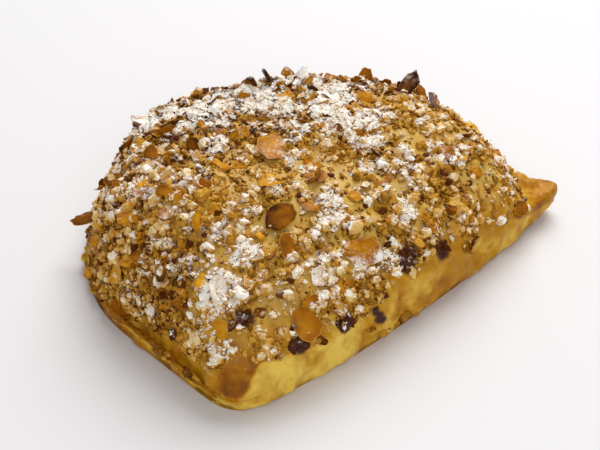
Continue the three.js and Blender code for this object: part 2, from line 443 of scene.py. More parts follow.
class DoughSizes(bpy.types.PropertyGroup):
    """Sizes of the folded dough"""

    length: size("Length", "Along the fold, from tip to tip", 142)
    front: size("Front", "From the crown to the ends of the fold", 50)
    fold_bow: size("Fold bow", "How far the fold swells past its ends", 5)
    back: size("Back", "From the crown to the back of the rim", 57)
    crown_x: size("Crown", "Where the crown stands along the fold", -15)
    tip_pull: size("Tip pull", "How far the right tip is drawn out past its corner", 4)
    crown_height: size("Crown height", "Top of the crust above the table", 42.5)
    lip: size("Lip", "Thickness of the two sealed layers at the rim", 5)
    seam: size("Seam", "Depth of the crease between those layers", 1.4)
    waist: size("Waist", "Height of the fold's fullest line", 10)
    left_tip: size("Left tip", "Thickness of the dough at the left tip", 3.5)
    right_tip: size("Right tip", "Thickness of the dough at the right tip", 6)
    foot: size("Foot", "Height of the rounded lower edge", 1.2)
    tip_lift: size("Tip lift", "How far the right tip curls off the table", 3.5)
    lift_reach: size("Lift reach", "How far in from that tip the curl starts", 40)
    tip_flap: size("Tip flap", "How far in from the right tip the dough lies flat", 28)
    swell: size("Swell", "Height of the humps that the filling pushes up", 1.1)
    swell_span: size("Swell span", "From one hump to the next", 47)


class ToppingSizes(bpy.types.PropertyGroup):
    """Sizes and counts of the topping"""

    line: size("Topping line", "Lowest height of the large flakes and crumbs", 16)
    fold_line: size("Fold line", "Where the topping ends above the fold", 13.5)
    skirt_rise: size("Skirt rise", "How much higher it ends over the golden skirt", 4)
    tip_fall: size("Tip fall", "How much lower it ends near the tips", 5)
    rim_line: size("Rim line", "Where the topping ends above the rim", 5)
    bare_left: size("Bare left", "How far from the left tip the large flakes and crumbs start", 14)
    bare_right: size("Bare right", "How far from the right tip the large flakes and crumbs start", 22)
    fine_left: size("Fine left", "How far from the left tip the fine crumble starts", 5.5)
    fine_right: size("Fine right", "How far from the right tip the fine crumble starts", 12)
    clump: size("Clump", "Width of a clump of crumble", 9)
    clump_rise: size("Clump rise", "How high a clump stands above the crust", 0.8)
    flake_spacing: size("Flake spacing", "Least distance between large flakes", 11.8)
    flake_short: size("Shortest flake", "Length of the shortest large flake", 7)
    flake_long: size("Longest flake", "Length of the longest large flake", 12)
    flake_thickness: size("Flake thickness", "Thickness of an almond flake", 0.7)
    flake_curl: size("Flake curl", "Rise of a flake's ends over its middle", 0.9)
    flake_rise: size("Flake rise", "Height of a flat flake's middle over the crust", 0.6)
    crumb_spacing: size("Crumb spacing", "Least distance between large crumbs", 6.7)
    crumb_small: size("Smallest crumb", "Radius of the smallest large crumb", 1.7)
    crumb_large: size("Largest crumb", "Radius of the largest crumb", 3)
    splinters: number("Splinters", "Broken almond flakes between the large ones", 260)
    nut_bits: number("Nut bits", "Chopped nuts in the crumble", 2450)
    toasted_bits: number("Toasted bits", "Browned lumps in the crumble", 8000)
    fine_crumbs: number("Fine crumbs", "Smallest crumbs of the crumble", 9500)
    sugar_grains: number("Sugar grains", "Loose grains of icing sugar", 5500)


class PastryColours(bpy.types.PropertyGroup):
    """Colours of the pastry"""

    pale_dough: colour("Pale dough", "The fold's wall, which the oven browns least", "F4CE5A")
    golden_dough: colour("Golden dough", "Egg wash over thin dough", "C88E14")
    brown_dough: colour("Brown dough", "Egg wash over the lid and the rim", "A4620A")
    # Dark dough also paints the shade in the rim's crease
    dark_dough: colour("Dark dough", "Creases and scorched edges", "562806")
    syrup: colour("Syrup", "Sugar and butter soaked into the bare crust", "D2A030")
    # Dark syrup is also the colour that painted shade in the crust's gaps runs to
    syrup_dark: colour("Dark syrup", "The same where it pooled and browned", "96600C")
    milky: colour("Milky glaze", "Glaze under a thin film of sugar", "CCB064")
    almond_pale: colour("Pale almond", "Flesh of a lightly toasted flake", "E2A41C")
    almond_amber: colour("Amber almond", "Flesh of a well toasted flake", "AE680A")
    almond_dark: colour("Dark almond", "Flesh of a scorched flake", "3A1808")
    almond_edge: colour("Almond edge", "The cut edge of a flake", "DCA636")
    nut_cream: colour("Cream nut", "The palest chopped nut", "F2D084")
    nut_tan: colour("Tan nut", "A toasted chopped nut", "D0962A")
    # Brown nut is also the colour that painted shade between crumbs and grains runs to
    nut_brown: colour("Brown nut", "A browned chopped nut", "5C2C08")
    burnt: colour("Burnt sugar", "Sugar that boiled out and burnt", "44200C")
    sugar: colour("Icing sugar", "Dry icing sugar", "FCF7EE")
    damp_sugar: colour("Damp sugar", "Icing sugar that soaked up butter", "E8D2A8")


class BakeLevels(bpy.types.PropertyGroup):
    """How brown each part of the crust is, from 0 for pale to 1 for dark"""

    wall_left: share("Left wall", "The fold's wall by the left tip", 0.22)
    wall_right: share("Right wall", "The fold's wall by the right tip", 0.34)
    lid: share("Lid", "The glazed lid above the wall", 0.4)
    skirt: share("Skirt", "Where glaze ran down the wall", 0.38)
    left_edge: share("Left lid edge", "More along the lid's edge by the left tip", 0.3)
    right_edge: share("Right lid edge", "More along the lid's edge by the right tip", 0.16)
    left_tip: share("Left tip", "More on the lid at the left tip", 0.072)
    right_tip: share("Right tip", "More on the lid at the right tip", 0.048)
    rim: share("Rim", "Top of the rim", 0.4)
    corner_rim: share("Rim corner", "Top of the rim by the left tip", 0.6)
    rim_edge: share("Rim edge", "Outer edge of the rim's upper layer", 0.66)
    layer: share("Layer", "The rim's lower layer", 0.22)
    corner_layer: share("Layer corner", "The rim's lower layer by the left tip", 0.12)
    # Painted shade in the crease between the layers, and more of it by the left tip
    crease: share("Crease", "More in the crease between the layers", 0.6)
    corner_crease: share("Crease corner", "More in that crease by the left tip", 0.3)
    foot: share("Foot", "More at the rim's lower edge", 0.5)
    under: share("Underside", "The base", 0.45)


class StageSizes(bpy.types.PropertyGroup):
    """Camera, lights and floor"""

    azimuth: bpy.props.FloatProperty(
        name="Azimuth", description="Turn of the camera round the pastry",
        default=math.radians(-43.2), subtype="ANGLE"
    )
    elevation: bpy.props.FloatProperty(
        name="Elevation", description="Height of the camera as an angle",
        default=math.radians(38.1), subtype="ANGLE"
    )
    distance: size("Distance", "From the camera to its aim", 487.6)
    aim_height: size("Aim height", "Height of the aim over the table", 15)
    aim_right: size("Aim right", "The aim's shift to the right of the origin, as seen", 2.5)
    aim_up: size("Aim up", "The aim's shift upwards, as seen", -8.7)
    lens: share("Lens", "Focal length in millimetres", 90)
    sensor: share("Sensor", "Width of the sensor in millimetres", 36)
    overhead_back: size("Overhead back", "How far behind the pastry the overhead light hangs", 1050)
    overhead_right: size("Overhead right", "How far to the right it hangs, as seen", 300)
    overhead_height: size("Overhead height", "How high it hangs", 1200)
    overhead_width: size("Overhead width", "Width of the overhead light", 1200)
    overhead_power: share("Overhead power", "Power of the overhead light in watts", 27)
    fill_distance: size("Fill distance", "How far the front fill stands along the line of sight", 1100)
    fill_right: size("Fill right", "How far to the right it stands, as seen", 100)
    fill_aim: size("Fill aim", "Height that the front fill faces", 20)
    fill_width: size("Fill width", "Width of the front fill", 600)
    fill_power: share("Fill power", "Power of the front fill in watts", 3)
    sky: share("Sky", "Strength of the even light all round", 0.37)
    floor: colour("Floor", "Pale table", "E2E0E1")
    floor_width: size("Floor width", "Width of the table", 4000)


def mix(first, second, amount):
    return first + (second - first) * amount


def smooth_step(low, high, value):
    """0 below low, 1 above high, and a smooth rise between."""
    part = np.clip((value - low) / (high - low), 0, 1)
    return part * part * (3 - 2 * part)


def wander(points, span, seed):
    """Smooth random value from -1 to 1 at each point, which changes over about a span."""
    table = np.random.default_rng(seed).uniform(-1, 1, (LATTICE,) * 3)
    place = np.asarray(points) / span
    cell = np.floor(place).astype(int)
    part = place - cell
    part = part * part * (3 - 2 * part)
    value = 0
    for corner in np.ndindex(2, 2, 2):
        at = (cell + corner) % LATTICE
        weight = np.prod(np.where(np.array(corner, bool), part, 1 - part), -1)
        value = value + weight * table[at[..., 0], at[..., 1], at[..., 2]]
    return value


def ripple(points, waves):
    """Sum of random waves."""
    return sum(strength * wander(points, span * MM, seed) for strength, span, seed in waves)


def fade(distance, span):
    """1 at no distance, falling smoothly to 0 over about two spans."""
    return np.exp(-(distance / span) ** 2)


def tip(dough, side):
    """Place of the left (-1) or right (1) tip on the table."""
    middle = (dough.back - dough.front - dough.fold_bow) / 2
    return np.array((side * dough.length / 2, -dough.front - middle))


def off_tip(dough, points, side):
    """Distance of points from the left (-1) or right (1) tip, seen from above."""
    return np.linalg.norm(points[..., :2] - tip(dough, side), axis=-1)


def outline(dough, turn, reach):
    """The dough's outline at a turn, drawn in by reach: 0 at the crown, 1 at the edge."""
    across = np.cos(turn)
    along = np.sin(turn)
    corner = np.where(across > 0, RIGHT_TIP_ROUNDNESS, LEFT_TIP_ROUNDNESS)
    front = mix(POCKET_ROUNDNESS, corner, reach ** TIP_ONSET)
    power = np.where(along >= 0, RIM_ROUNDNESS, front)
    radius = (np.abs(across) ** power + np.abs(along) ** power) ** (-1 / power)
    side = radius * across
    half = dough.length / 2 - np.sign(across) * dough.crown_x
    bow = dough.front + dough.fold_bow * (1 - np.minimum(np.abs(side), 1) ** 2)
    depth = np.where(along >= 0, dough.back, bow)
    off_corner = np.arctan2(along, across) + math.pi / 4
    pull = dough.tip_pull * fade(off_corner, TIP_WIDTH) * reach ** TIP_ONSET
    middle = (dough.back - dough.front - dough.fold_bow) / 2
    x = dough.crown_x + reach * side * half + pull
    return np.stack((x, reach * radius * along * depth - middle), -1)


def fold_share(turn):
    """1 along the fold, 0 round the rim."""
    return smooth_step(FOLD_FROM, FOLD_TO, -np.sin(turn))


def edge_height(dough, turn):
    """Height of the dough's outer edge: thick along the fold, thin at the tips."""
    along = np.sin(turn)
    body = mix(dough.lip, dough.waist, smooth_step(WAIST_FROM, WAIST_TO, -along))
    off_corner = np.abs(np.cos(turn)) - math.sqrt(0.5)
    corner = np.where(along < 0, fade(off_corner, CORNER_WIDTH), 0)
    end = np.where(np.cos(turn) > 0, dough.right_tip, dough.left_tip)
    return mix(body, end, corner)


def dome_height(dough, turn, reach, place):
    """Height of the dome, with the humps of the filling."""
    fold = fold_share(turn)
    edge = edge_height(dough, turn)
    inner = np.minimum(reach / mix(BRIM, 1, fold), 1)
    fullness = mix(RIM_FULLNESS, FOLD_FULLNESS, fold)
    steepness = mix(RIM_STEEPNESS, FOLD_STEEPNESS, fold)
    flap = smooth_step(0, dough.tip_flap, off_tip(dough, place, 1))
    dome = edge + (dough.crown_height - edge) * flap * (1 - inner ** fullness) ** steepness
    pitch = 2 * math.pi / dough.swell_span
    hump = np.prod(np.sin(place * pitch + SWELL_SHIFT), axis=-1)
    return dome + dough.swell * (1 - reach ** 2) * hump


def skin(dough, turn, drop):
    """Points of the dough's skin."""
    down = np.clip(drop - EDGE_DROP, 0, 1)
    under = np.clip(drop - FOOT_DROP, 0, 1)
    groove = (1 - fold_share(turn)) * (dough.seam / dough.back) * np.sin(down * math.pi)
    reach = np.where(drop < EDGE_DROP, np.sin(np.clip(drop, 0, 1) * math.pi / 2), 1 - groove)
    reach = np.where(drop > FOOT_DROP, 1 - under ** BASE_FLATNESS, reach)
    place = outline(dough, turn, reach)
    side = mix(edge_height(dough, turn), dough.foot, down)
    height = np.where(drop < EDGE_DROP, dome_height(dough, turn, reach, place), side)
    height = np.where(drop > FOOT_DROP, 0, height)
    lift = dough.tip_lift * np.maximum(0, 1 - off_tip(dough, place, 1) / dough.lift_reach) ** 2
    return np.concatenate((place, (height + lift)[..., None]), -1)


def outward(dough, turn, drop):
    """Area vectors of the dome: their direction is the way out, their length the area for a step."""
    around = skin(dough, turn + SLOPE_STEP, drop) - skin(dough, turn - SLOPE_STEP, drop)
    low = np.minimum(drop + SLOPE_STEP, EDGE_DROP)
    high = np.maximum(drop - SLOPE_STEP, 0)
    return np.cross(skin(dough, turn, low) - skin(dough, turn, high), around)


def unit(vectors):
    return vectors / np.linalg.norm(vectors, axis=-1, keepdims=True)


def place_on(dough, turn, drop):
    """One point of the skin, from a turn in degrees and a drop."""
    return skin(dough, np.radians(turn), np.asarray(drop, float))


def within(dough, points, spots):
    """How deep points lie in the listed round spots: 1 in a middle, 0 at an edge, -1 far off."""
    inside = np.full(points.shape[:-1], -1.0)
    for turn, drop, radius in spots:
        off = np.linalg.norm(points - place_on(dough, turn, drop), axis=-1)
        inside = np.maximum(inside, 1 - off / (radius * MM))
    return inside


def spot_share(dough, points):
    """1 within the burnt spots, falling to 0 over their ragged edges."""
    return smooth_step(*SPOT_FADE, within(dough, points, BURNT_SPOTS) + ripple(points, SPOT_EDGE))


def heap_share(dough, points):
    """1 in the middle of a noted heap, falling to 0 over its ragged edge."""
    return smooth_step(*HEAP_FADE, within(dough, points, HEAPS) + ripple(points, HEAP_EDGE))


def skirt_share(points):
    """1 along the stretch of the fold where glaze ran down the wall, 0 beside it."""
    return smooth_step(*SKIRT_HALF, np.abs(points[..., 0] - SKIRT_X) + MM * ripple(points, SKIRT_SIDES))


def skirt_cover(points):
    """1 on the skirt of glaze, 0 beside it and below its ragged hem."""
    return skirt_share(points) * smooth_step(*SKIRT_HEIGHT, points[..., 2] + MM * ripple(points, SKIRT_HEM))


def wall_line(dough, points):
    """Height of the edge between the pale wall and the glazed lid: low at the tips."""
    left = smooth_step(*LEFT_WALL_REACH, off_tip(dough, points, -1))
    left = left * smooth_step(*WALL_FRONT, points[..., 1])
    right = smooth_step(*RIGHT_WALL_REACH, off_tip(dough, points, 1))
    return np.minimum(mix(LEFT_WALL, WALL, left), mix(RIGHT_WALL, WALL, right))


def grain_distances(points, span, seed):
    """Distances, in spans, to the nearest and the next seed of a jittered lattice."""
    table = np.random.default_rng(seed).random((LATTICE, LATTICE, LATTICE, 3))
    place = points / span
    cell = np.floor(place).astype(int)
    nearest = np.full(points.shape[:-1], 9.0)
    second = nearest.copy()
    for step in np.ndindex(3, 3, 3):
        at = cell + step - 1
        seeds = at + table[at[..., 0] % LATTICE, at[..., 1] % LATTICE, at[..., 2] % LATTICE]
        far = np.linalg.norm(place - seeds, axis=-1)
        second = np.minimum(second, np.maximum(nearest, far))
        nearest = np.minimum(nearest, far)
    return nearest, second


def topping_share(dough, topping, points, turn):
    """1 where the topping lies, 0 on the bare wall, rim and tips."""
    ragged = MM * ripple(points, TOPPING_EDGE)
    off_left = off_tip(dough, points, -1)
    off_right = off_tip(dough, points, 1)
    near_tips = LEFT_FALL * fade(off_left, LEFT_FALL_REACH) + fade(off_right, RIGHT_FALL_REACH)
    fold_line = topping.fold_line - topping.tip_fall * near_tips + topping.skirt_rise * skirt_share(points)
    fold_line = np.maximum(fold_line, wall_line(dough, points) + LID_BARE)
    rim_line = topping.rim_line + CORNER_RISE * fade(off_left, CORNER_RISE_REACH)
    line = mix(rim_line, fold_line, fold_share(turn))
    above = smooth_step(*TOPPING_FADE, points[..., 2] - line + ragged)
    left = smooth_step(*TIP_FADE, off_left - topping.fine_left + ragged)
    right = smooth_step(*TIP_FADE, off_right - topping.fine_right + ragged)
    return above * left * right


def swell_rise(dough, points):
    """How far the topping stands above its usual height."""
    rise = 0
    for turn, drop, radius, height in SWELLS:
        off = np.linalg.norm(points - place_on(dough, turn, drop), axis=-1)
        rise = rise + height * MM * fade(off, radius * MM)
    return rise


def clump_share(dough, topping, points):
    """1 in the middle of a clump of crumble, 0 between clumps."""
    broad = wander(points, topping.clump, CLUMP_SEEDS[0])
    field = broad + CLUMP_DETAIL * wander(points, topping.clump / 2, CLUMP_SEEDS[1])
    return np.maximum(smooth_step(*CLUMP_FADE, field), heap_share(dough, points))


def open_share(points):
    """1 on the front slope, where glazed crust shows between the clumps, 0 at the back and the left."""
    left = smooth_step(*SHUT_LEFT_X, points[..., 0]) * smooth_step(*SHUT_LEFT_Y, points[..., 1])
    return smooth_step(*OPEN_Y, points[..., 1]) * (1 - left)


def pile_share(dough, topping, points):
    """1 where crumble lies, 0 on the glaze between the clumps."""
    return np.maximum(clump_share(dough, topping, points), SHUT_PILE * (1 - open_share(points)))


def bed_rise(dough, topping, points, cover):
    """How far the crust stands out under the topping, in fused grains."""
    near, _ = grain_distances(points, LUMP_SPAN, LUMP_SEED)
    small, _ = grain_distances(points, GRAIN_SPAN, GRAIN_SEED)
    grains = LUMP_HEIGHT * (LUMP_LEVEL - near) + GRAIN_HEIGHT * (GRAIN_LEVEL - small)
    pile = pile_share(dough, topping, points)
    clumps = topping.clump_rise * clump_share(dough, topping, points)
    return cover * (swell_rise(dough, points) + clumps + pile * grains)


def lump_share(points):
    """1 on top of a lump of the topping, 0 in the creases between lumps."""
    near, _ = grain_distances(points, LUMP_SPAN, LUMP_SEED)
    return smooth_step(*LUMP_TOP, near)


def gap_share(points):
    """1 in the gaps between the fused grains, 0 on their tops: where painted shade darkens the crust."""
    near, second = grain_distances(points, LUMP_SPAN, LUMP_SEED)
    small, next_small = grain_distances(points, GRAIN_SPAN, GRAIN_SEED)
    between = SMALL_GAP * smooth_step(*GRAIN_GAP, next_small - small)
    return np.maximum(smooth_step(*GRAIN_GAP, second - near), between)


def sugar_share(dough, points):
    """How thickly icing sugar lies, before anything shades it: mostly on the noted heaps."""
    high = smooth_step(*SUGAR_HEIGHT, points[..., 2])
    corner = fade(off_tip(dough, points, -1) - SUGAR_CORNER_OFF, SUGAR_CORNER_REACH)
    heaps = (SUGAR_HEAP + SUGAR_HIGH_HEAP * high) * heap_share(dough, points)
    patches = SUGAR_PATCH * ripple(points, SUGAR_PATCHES)
    return np.clip(SUGAR_ALL + SUGAR_CORNER * corner + SUGAR_HIGH * high + heaps + patches, 0, 1)


class Draws:
    """The same run of numbers from 0 to 1 every time."""

    def __init__(self):
        self.seed = SEED

    def draw(self):
        self.seed = (self.seed * SEED_FACTOR + SEED_STEP) % SEED_RANGE
        return self.seed / SEED_RANGE

    def between(self, low, high):
        return low + (high - low) * self.draw()


def is_covered(dough, topping, points):
    """True where large flakes and crumbs may lie."""
    off_left = off_tip(dough, points, -1)
    off_right = off_tip(dough, points, 1)
    bare = (off_left <= topping.bare_left) | (off_right <= topping.bare_right)
    return (points[..., 2] > topping.line) & ~bare


def scatter(dough, topping, draws, spacing, taken):
    """Turns, drops and points on the dome at least a spacing apart, and apart from the taken points."""
    pairs = np.array([(draws.draw(), draws.draw()) for _ in range(TRIES)])
    turn = pairs[:, 0] * 2 * math.pi
    drop = pairs[:, 1]
    points = skin(dough, turn, drop)
    covered = is_covered(dough, topping, points)
    kept = np.array(taken)
    picks = []
    for i in np.flatnonzero(covered):
        if np.min(np.linalg.norm(kept - points[i], axis=1)) >= spacing:
            kept = np.vstack((kept, points[i]))
            picks.append(i)
    return turn[picks], drop[picks], points[picks]


class Layout:
    """Places of the large flakes and crumbs, the same as in the solid."""

    def __init__(self, dough, topping):
        draws = Draws()
        noted = np.array(NOTED_FLAKES)
        turn = np.radians(noted[:, 0])
        points = skin(dough, turn, noted[:, 1])
        others = scatter(dough, topping, draws, topping.flake_spacing, points)
        self.turn = np.concatenate((turn, others[0]))
        self.drop = np.concatenate((noted[:, 1], others[1]))
        self.points = np.concatenate((points, others[2]))
        lengths = list(noted[:, 2] * MM)
        leans = list(noted[:, 3])
        for point in others[2]:
            leans.append(draws.between(0, FLAKE_LEAN) * min(point[2] / FLAKE_LEAN_HEIGHT, 1) ** 2)
            lengths.append(draws.between(topping.flake_short, topping.flake_long))
        self.half = np.array(lengths) / 2
        self.lean = np.radians(leans)
        rows = [(draws.between(*FLAKE_WIDTH), draws.draw(), draws.draw()) for _ in lengths]
        self.width, self.spin, self.swing = np.array(rows).T
        self.crumb_turn, self.crumb_drop, self.crumbs = scatter(
            dough, topping, draws, topping.crumb_spacing, self.points
        )
        radii = []
        for _ in self.crumbs:
            radii.append(draws.between(topping.crumb_small, topping.crumb_large))
            for _ in range(FACET_DRAWS):
                draws.draw()
        self.crumb_radius = np.array(radii)


def sprinkle(dough, topping, count, density, rng):
    """Turns and drops of places on the dome, drawn evenly by area times a density."""
    columns = (np.arange(DRAW_COLUMNS) + 0.5) / DRAW_COLUMNS * 2 * math.pi
    rows = (np.arange(DRAW_ROWS) + 0.5) / DRAW_ROWS
    turn, drop = np.meshgrid(columns, rows, indexing="ij")
    points = skin(dough, turn, drop)
    area = np.linalg.norm(outward(dough, turn, drop), axis=-1)
    weight = (area * topping_share(dough, topping, points, turn) * density(points)).ravel()
    picks = rng.choice(weight.size, count, p=weight / weight.sum())
    turn = turn.ravel()[picks] + (rng.random(count) - 0.5) * 2 * math.pi / DRAW_COLUMNS
    drop = drop.ravel()[picks] + (rng.random(count) - 0.5) / DRAW_ROWS
    return turn, np.clip(drop, 0, 1)


def template(fill):
    """Vertices and triangles of a small shape that fill makes in a bmesh."""
    shape = bmesh.new()
    fill(shape)
    bmesh.ops.triangulate(shape, faces=shape.faces[:])
    shape.verts.index_update()
    places = np.array([vert.co[:] for vert in shape.verts])
    faces = np.array([[vert.index for vert in face.verts] for face in shape.faces])
    shape.free()
    return places, faces


def fill_lump(shape):
    bmesh.ops.create_icosphere(shape, subdivisions=2, radius=1)


def fill_grain(shape):
    bmesh.ops.create_icosphere(shape, subdivisions=1, radius=1)


def fill_flake(shape):
    """A disc with a rounded rim, one unit in radius and thickness, whose axis is Y."""
    bmesh.ops.create_uvsphere(shape, u_segments=20, v_segments=4, radius=1)
    bmesh.ops.rotate(shape, verts=shape.verts[:], matrix=Matrix.Rotation(-math.pi / 2, 3, "X"))
    for vert in shape.verts:
        vert.co.y = math.copysign(abs(vert.co.y) ** FLAKE_FLATNESS, vert.co.y) / 2


def any_turns(rng, count):
    """Matrices of turns in any direction."""
    w, x, y, z = unit(rng.normal(size=(count, 4))).T
    rows = (
        (1 - 2 * (y * y + z * z), 2 * (x * y - w * z), 2 * (x * z + w * y)),
        (2 * (x * y + w * z), 1 - 2 * (x * x + z * z), 2 * (y * z - w * x)),
        (2 * (x * z - w * y), 2 * (y * z + w * x), 1 - 2 * (x * x + y * y)),
    )
    return np.array(rows).transpose(2, 0, 1)


def stamp(lumps, faces, turns, centres):
    """Joined copies of a shape: each row of lumps turned and moved to its centre."""
    placed = np.einsum("nij,nvj->nvi", turns, lumps) + centres[:, None, :]
    steps = lumps.shape[1] * np.arange(len(centres))[:, None, None]
    return placed.reshape(-1, 3), (faces + steps).reshape(-1, 3)


def set_values(mesh, label, values):
    """Stores one number for each vertex."""
    field = mesh.attributes.get(label) or mesh.attributes.new(label, "FLOAT", "POINT")
    field.data.foreach_set("value", np.ascontiguousarray(values, dtype=np.float32))


def vertex_values(mesh, label):
    """The number stored for each vertex."""
    values = np.empty(len(mesh.vertices), dtype=np.float32)
    mesh.attributes[label].data.foreach_get("value", values)
    return values.astype(float)


def vertex_places(mesh):
    places = np.empty(len(mesh.vertices) * 3, dtype=np.float32)
    mesh.vertices.foreach_get("co", places)
    return places.reshape(-1, 3).astype(float)


def vertex_normals(mesh):
    normals = np.empty(len(mesh.vertices) * 3, dtype=np.float32)
    mesh.vertex_normals.foreach_get("vector", normals)
    return normals.reshape(-1, 3).astype(float)


def add_piece(mesh, material):
    """Puts a finished mesh in the scene as a piece of the pastry."""
    mesh.materials.append(material)
    piece = bpy.data.objects.new(mesh.name, mesh)
    bpy.context.scene.collection.objects.link(piece)
    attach(piece, BODY)
    return piece


def joined_mesh(name, places, faces):
    mesh = bpy.data.meshes.new(name)
    mesh.from_pydata(places.tolist(), [], faces.tolist())
    mesh.update()
    return mesh


# Sockets of the mix node when it mixes colours, and when it mixes numbers
FACTOR, FIRST, SECOND, RESULT = 0, 6, 7, 2
LOW, HIGH = 2, 3


def node(tree, kind, inputs=(), out=0, stops=(), **options):
    """Adds a shader node, sets or links its inputs, and returns one of its outputs."""
    made = tree.nodes.new(kind)
    for name, value in options.items():
        setattr(made, name, value)
    for key, value in dict(inputs).items():
        if isinstance(value, bpy.types.NodeSocket):
            tree.links.new(value, made.inputs[key])
        else:
            made.inputs[key].default_value = value
    for i, (place, tint) in enumerate(stops):
        elements = made.color_ramp.elements
        stop = elements[i] if i < len(elements) else elements.new(place)
        stop.position = place
        stop.color = tint
    return made.outputs[out] if len(made.outputs) else None


def new_tree(name):
    """An empty material and its node tree."""
    material = bpy.data.materials.new(name)
    material.use_nodes = True
    material.node_tree.nodes.clear()
    return material, material.node_tree


def dusted_surface(tree, colours, tint, roughness, height, depth, coat, gloss):
    """Ends a material: its surface, under icing sugar on what faces up."""
    place = node(tree, "ShaderNodeTexCoord", out="Object")
    facing = node(tree, "ShaderNodeNewGeometry", out="Normal")
    up = node(tree, "ShaderNodeSeparateXYZ", {0: facing}, "Z")
    level = node(tree, "ShaderNodeMapRange", {0: up, 1: 0.0, 2: 0.7}, interpolation_type="SMOOTHSTEP")
    fallen = node(tree, "ShaderNodeAttribute", out="Fac", attribute_name="sugar")
    lying = node(tree, "ShaderNodeMath", {0: fallen, 1: level}, operation="MULTIPLY")
    grains = node(
        tree, "ShaderNodeTexNoise",
        {"Vector": place, "Scale": 1 / (1.1 * MM), "Detail": 4.0, "Roughness": 0.7}
    )
    powder = node(tree, "ShaderNodeMath", {0: grains, 1: 0.6, 2: lying}, operation="MULTIPLY_ADD")
    cover = node(tree, "ShaderNodeMapRange", {0: powder, 1: 0.55, 2: 0.88}, interpolation_type="SMOOTHSTEP")
    dusted = node(
        tree, "ShaderNodeMix", {FACTOR: cover, FIRST: tint, SECOND: colours.sugar}, RESULT, data_type="RGBA"
    )
    dull = node(tree, "ShaderNodeMix", {FACTOR: cover, LOW: roughness, HIGH: 0.9}, data_type="FLOAT")
    smooth = node(tree, "ShaderNodeMapRange", {0: cover, 1: 0.0, 2: 1.0, 3: 1.0, 4: 0.25})
    slope = node(tree, "ShaderNodeBump", {"Height": height, "Strength": smooth, "Distance": depth})
    surface = node(
        tree, "ShaderNodeBsdfPrincipled",
        {
            "Base Color": dusted, "Roughness": dull, "Normal": slope, "IOR": 1.45,
            "Coat Weight": coat, "Coat Roughness": 0.25, "Specular IOR Level": gloss,
        }
    )
    node(tree, "ShaderNodeOutputMaterial", {"Surface": surface})


def baked_dough(colours):
    """Egg-washed puff pastry: matt and pale where it is steamed, glossy brown where the oven reaches."""
    material, tree = new_tree("baked_dough")
    place = node(tree, "ShaderNodeTexCoord", out="Object")
    heat = node(tree, "ShaderNodeAttribute", out="Fac", attribute_name="bake")
    patches = node(tree, "ShaderNodeTexNoise", {"Vector": place, "Scale": 1 / (5 * MM)})
    specks = node(tree, "ShaderNodeTexNoise", {"Vector": place, "Scale": 1 / (1.1 * MM), "Detail": 3.0})
    bake = node(tree, "ShaderNodeMath", {0: heat, 1: 0.7}, operation="MULTIPLY")
    bake = node(tree, "ShaderNodeMath", {0: patches, 1: 0.2, 2: bake}, operation="MULTIPLY_ADD")
    bake = node(tree, "ShaderNodeMath", {0: specks, 1: 0.1, 2: bake}, operation="MULTIPLY_ADD")
    crust = node(
        tree, "ShaderNodeValToRGB", {0: bake},
        stops=(
            (0.22, colours.pale_dough), (0.43, colours.golden_dough), (0.64, colours.brown_dough),
            (0.88, colours.dark_dough),
        )
    )
    # Syrup on the bed: random pools, with painted shade in the gaps between grains pushing it towards dark
    pools_and_shade = node(tree, "ShaderNodeTexNoise", {"Vector": place, "Scale": 1 / (4 * MM), "Detail": 3.0})
    gaps = node(tree, "ShaderNodeAttribute", out="Fac", attribute_name="gap")
    pools_and_shade = node(tree, "ShaderNodeMath", {0: gaps, 1: 0.6, 2: pools_and_shade}, operation="MULTIPLY_ADD")
    syrup = node(
        tree, "ShaderNodeValToRGB", {0: pools_and_shade},
        stops=(
            (0.3, colours.nut_cream), (0.5, colours.syrup), (0.75, colours.syrup_dark),
            (1.0, colours.nut_brown),
        )
    )
    bed = node(tree, "ShaderNodeAttribute", out="Fac", attribute_name="bed")
    tint = node(tree, "ShaderNodeMix", {FACTOR: bed, FIRST: crust, SECOND: syrup}, RESULT, data_type="RGBA")
    film = node(tree, "ShaderNodeAttribute", out="Fac", attribute_name="film")
    film = node(tree, "ShaderNodeMath", {0: film, 1: patches}, operation="MULTIPLY")
    tint = node(
        tree, "ShaderNodeMix", {FACTOR: film, FIRST: tint, SECOND: colours.milky}, RESULT, data_type="RGBA"
    )
    scorch = node(tree, "ShaderNodeAttribute", out="Fac", attribute_name="scorch")
    tint = node(
        tree, "ShaderNodeMix", {FACTOR: scorch, FIRST: tint, SECOND: colours.burnt}, RESULT, data_type="RGBA"
    )
    blisters = node(tree, "ShaderNodeTexNoise", {"Vector": place, "Scale": 1 / (2.6 * MM)})
    height = node(tree, "ShaderNodeMath", {0: specks, 1: blisters}, operation="ADD")
    rough = node(tree, "ShaderNodeMapRange", {0: blisters, 1: 0.3, 2: 0.7, 3: 0.3, 4: 0.5})
    dusted_surface(tree, colours, tint, rough, height, 0.25 * MM, 0.04, 0.15)
    return material


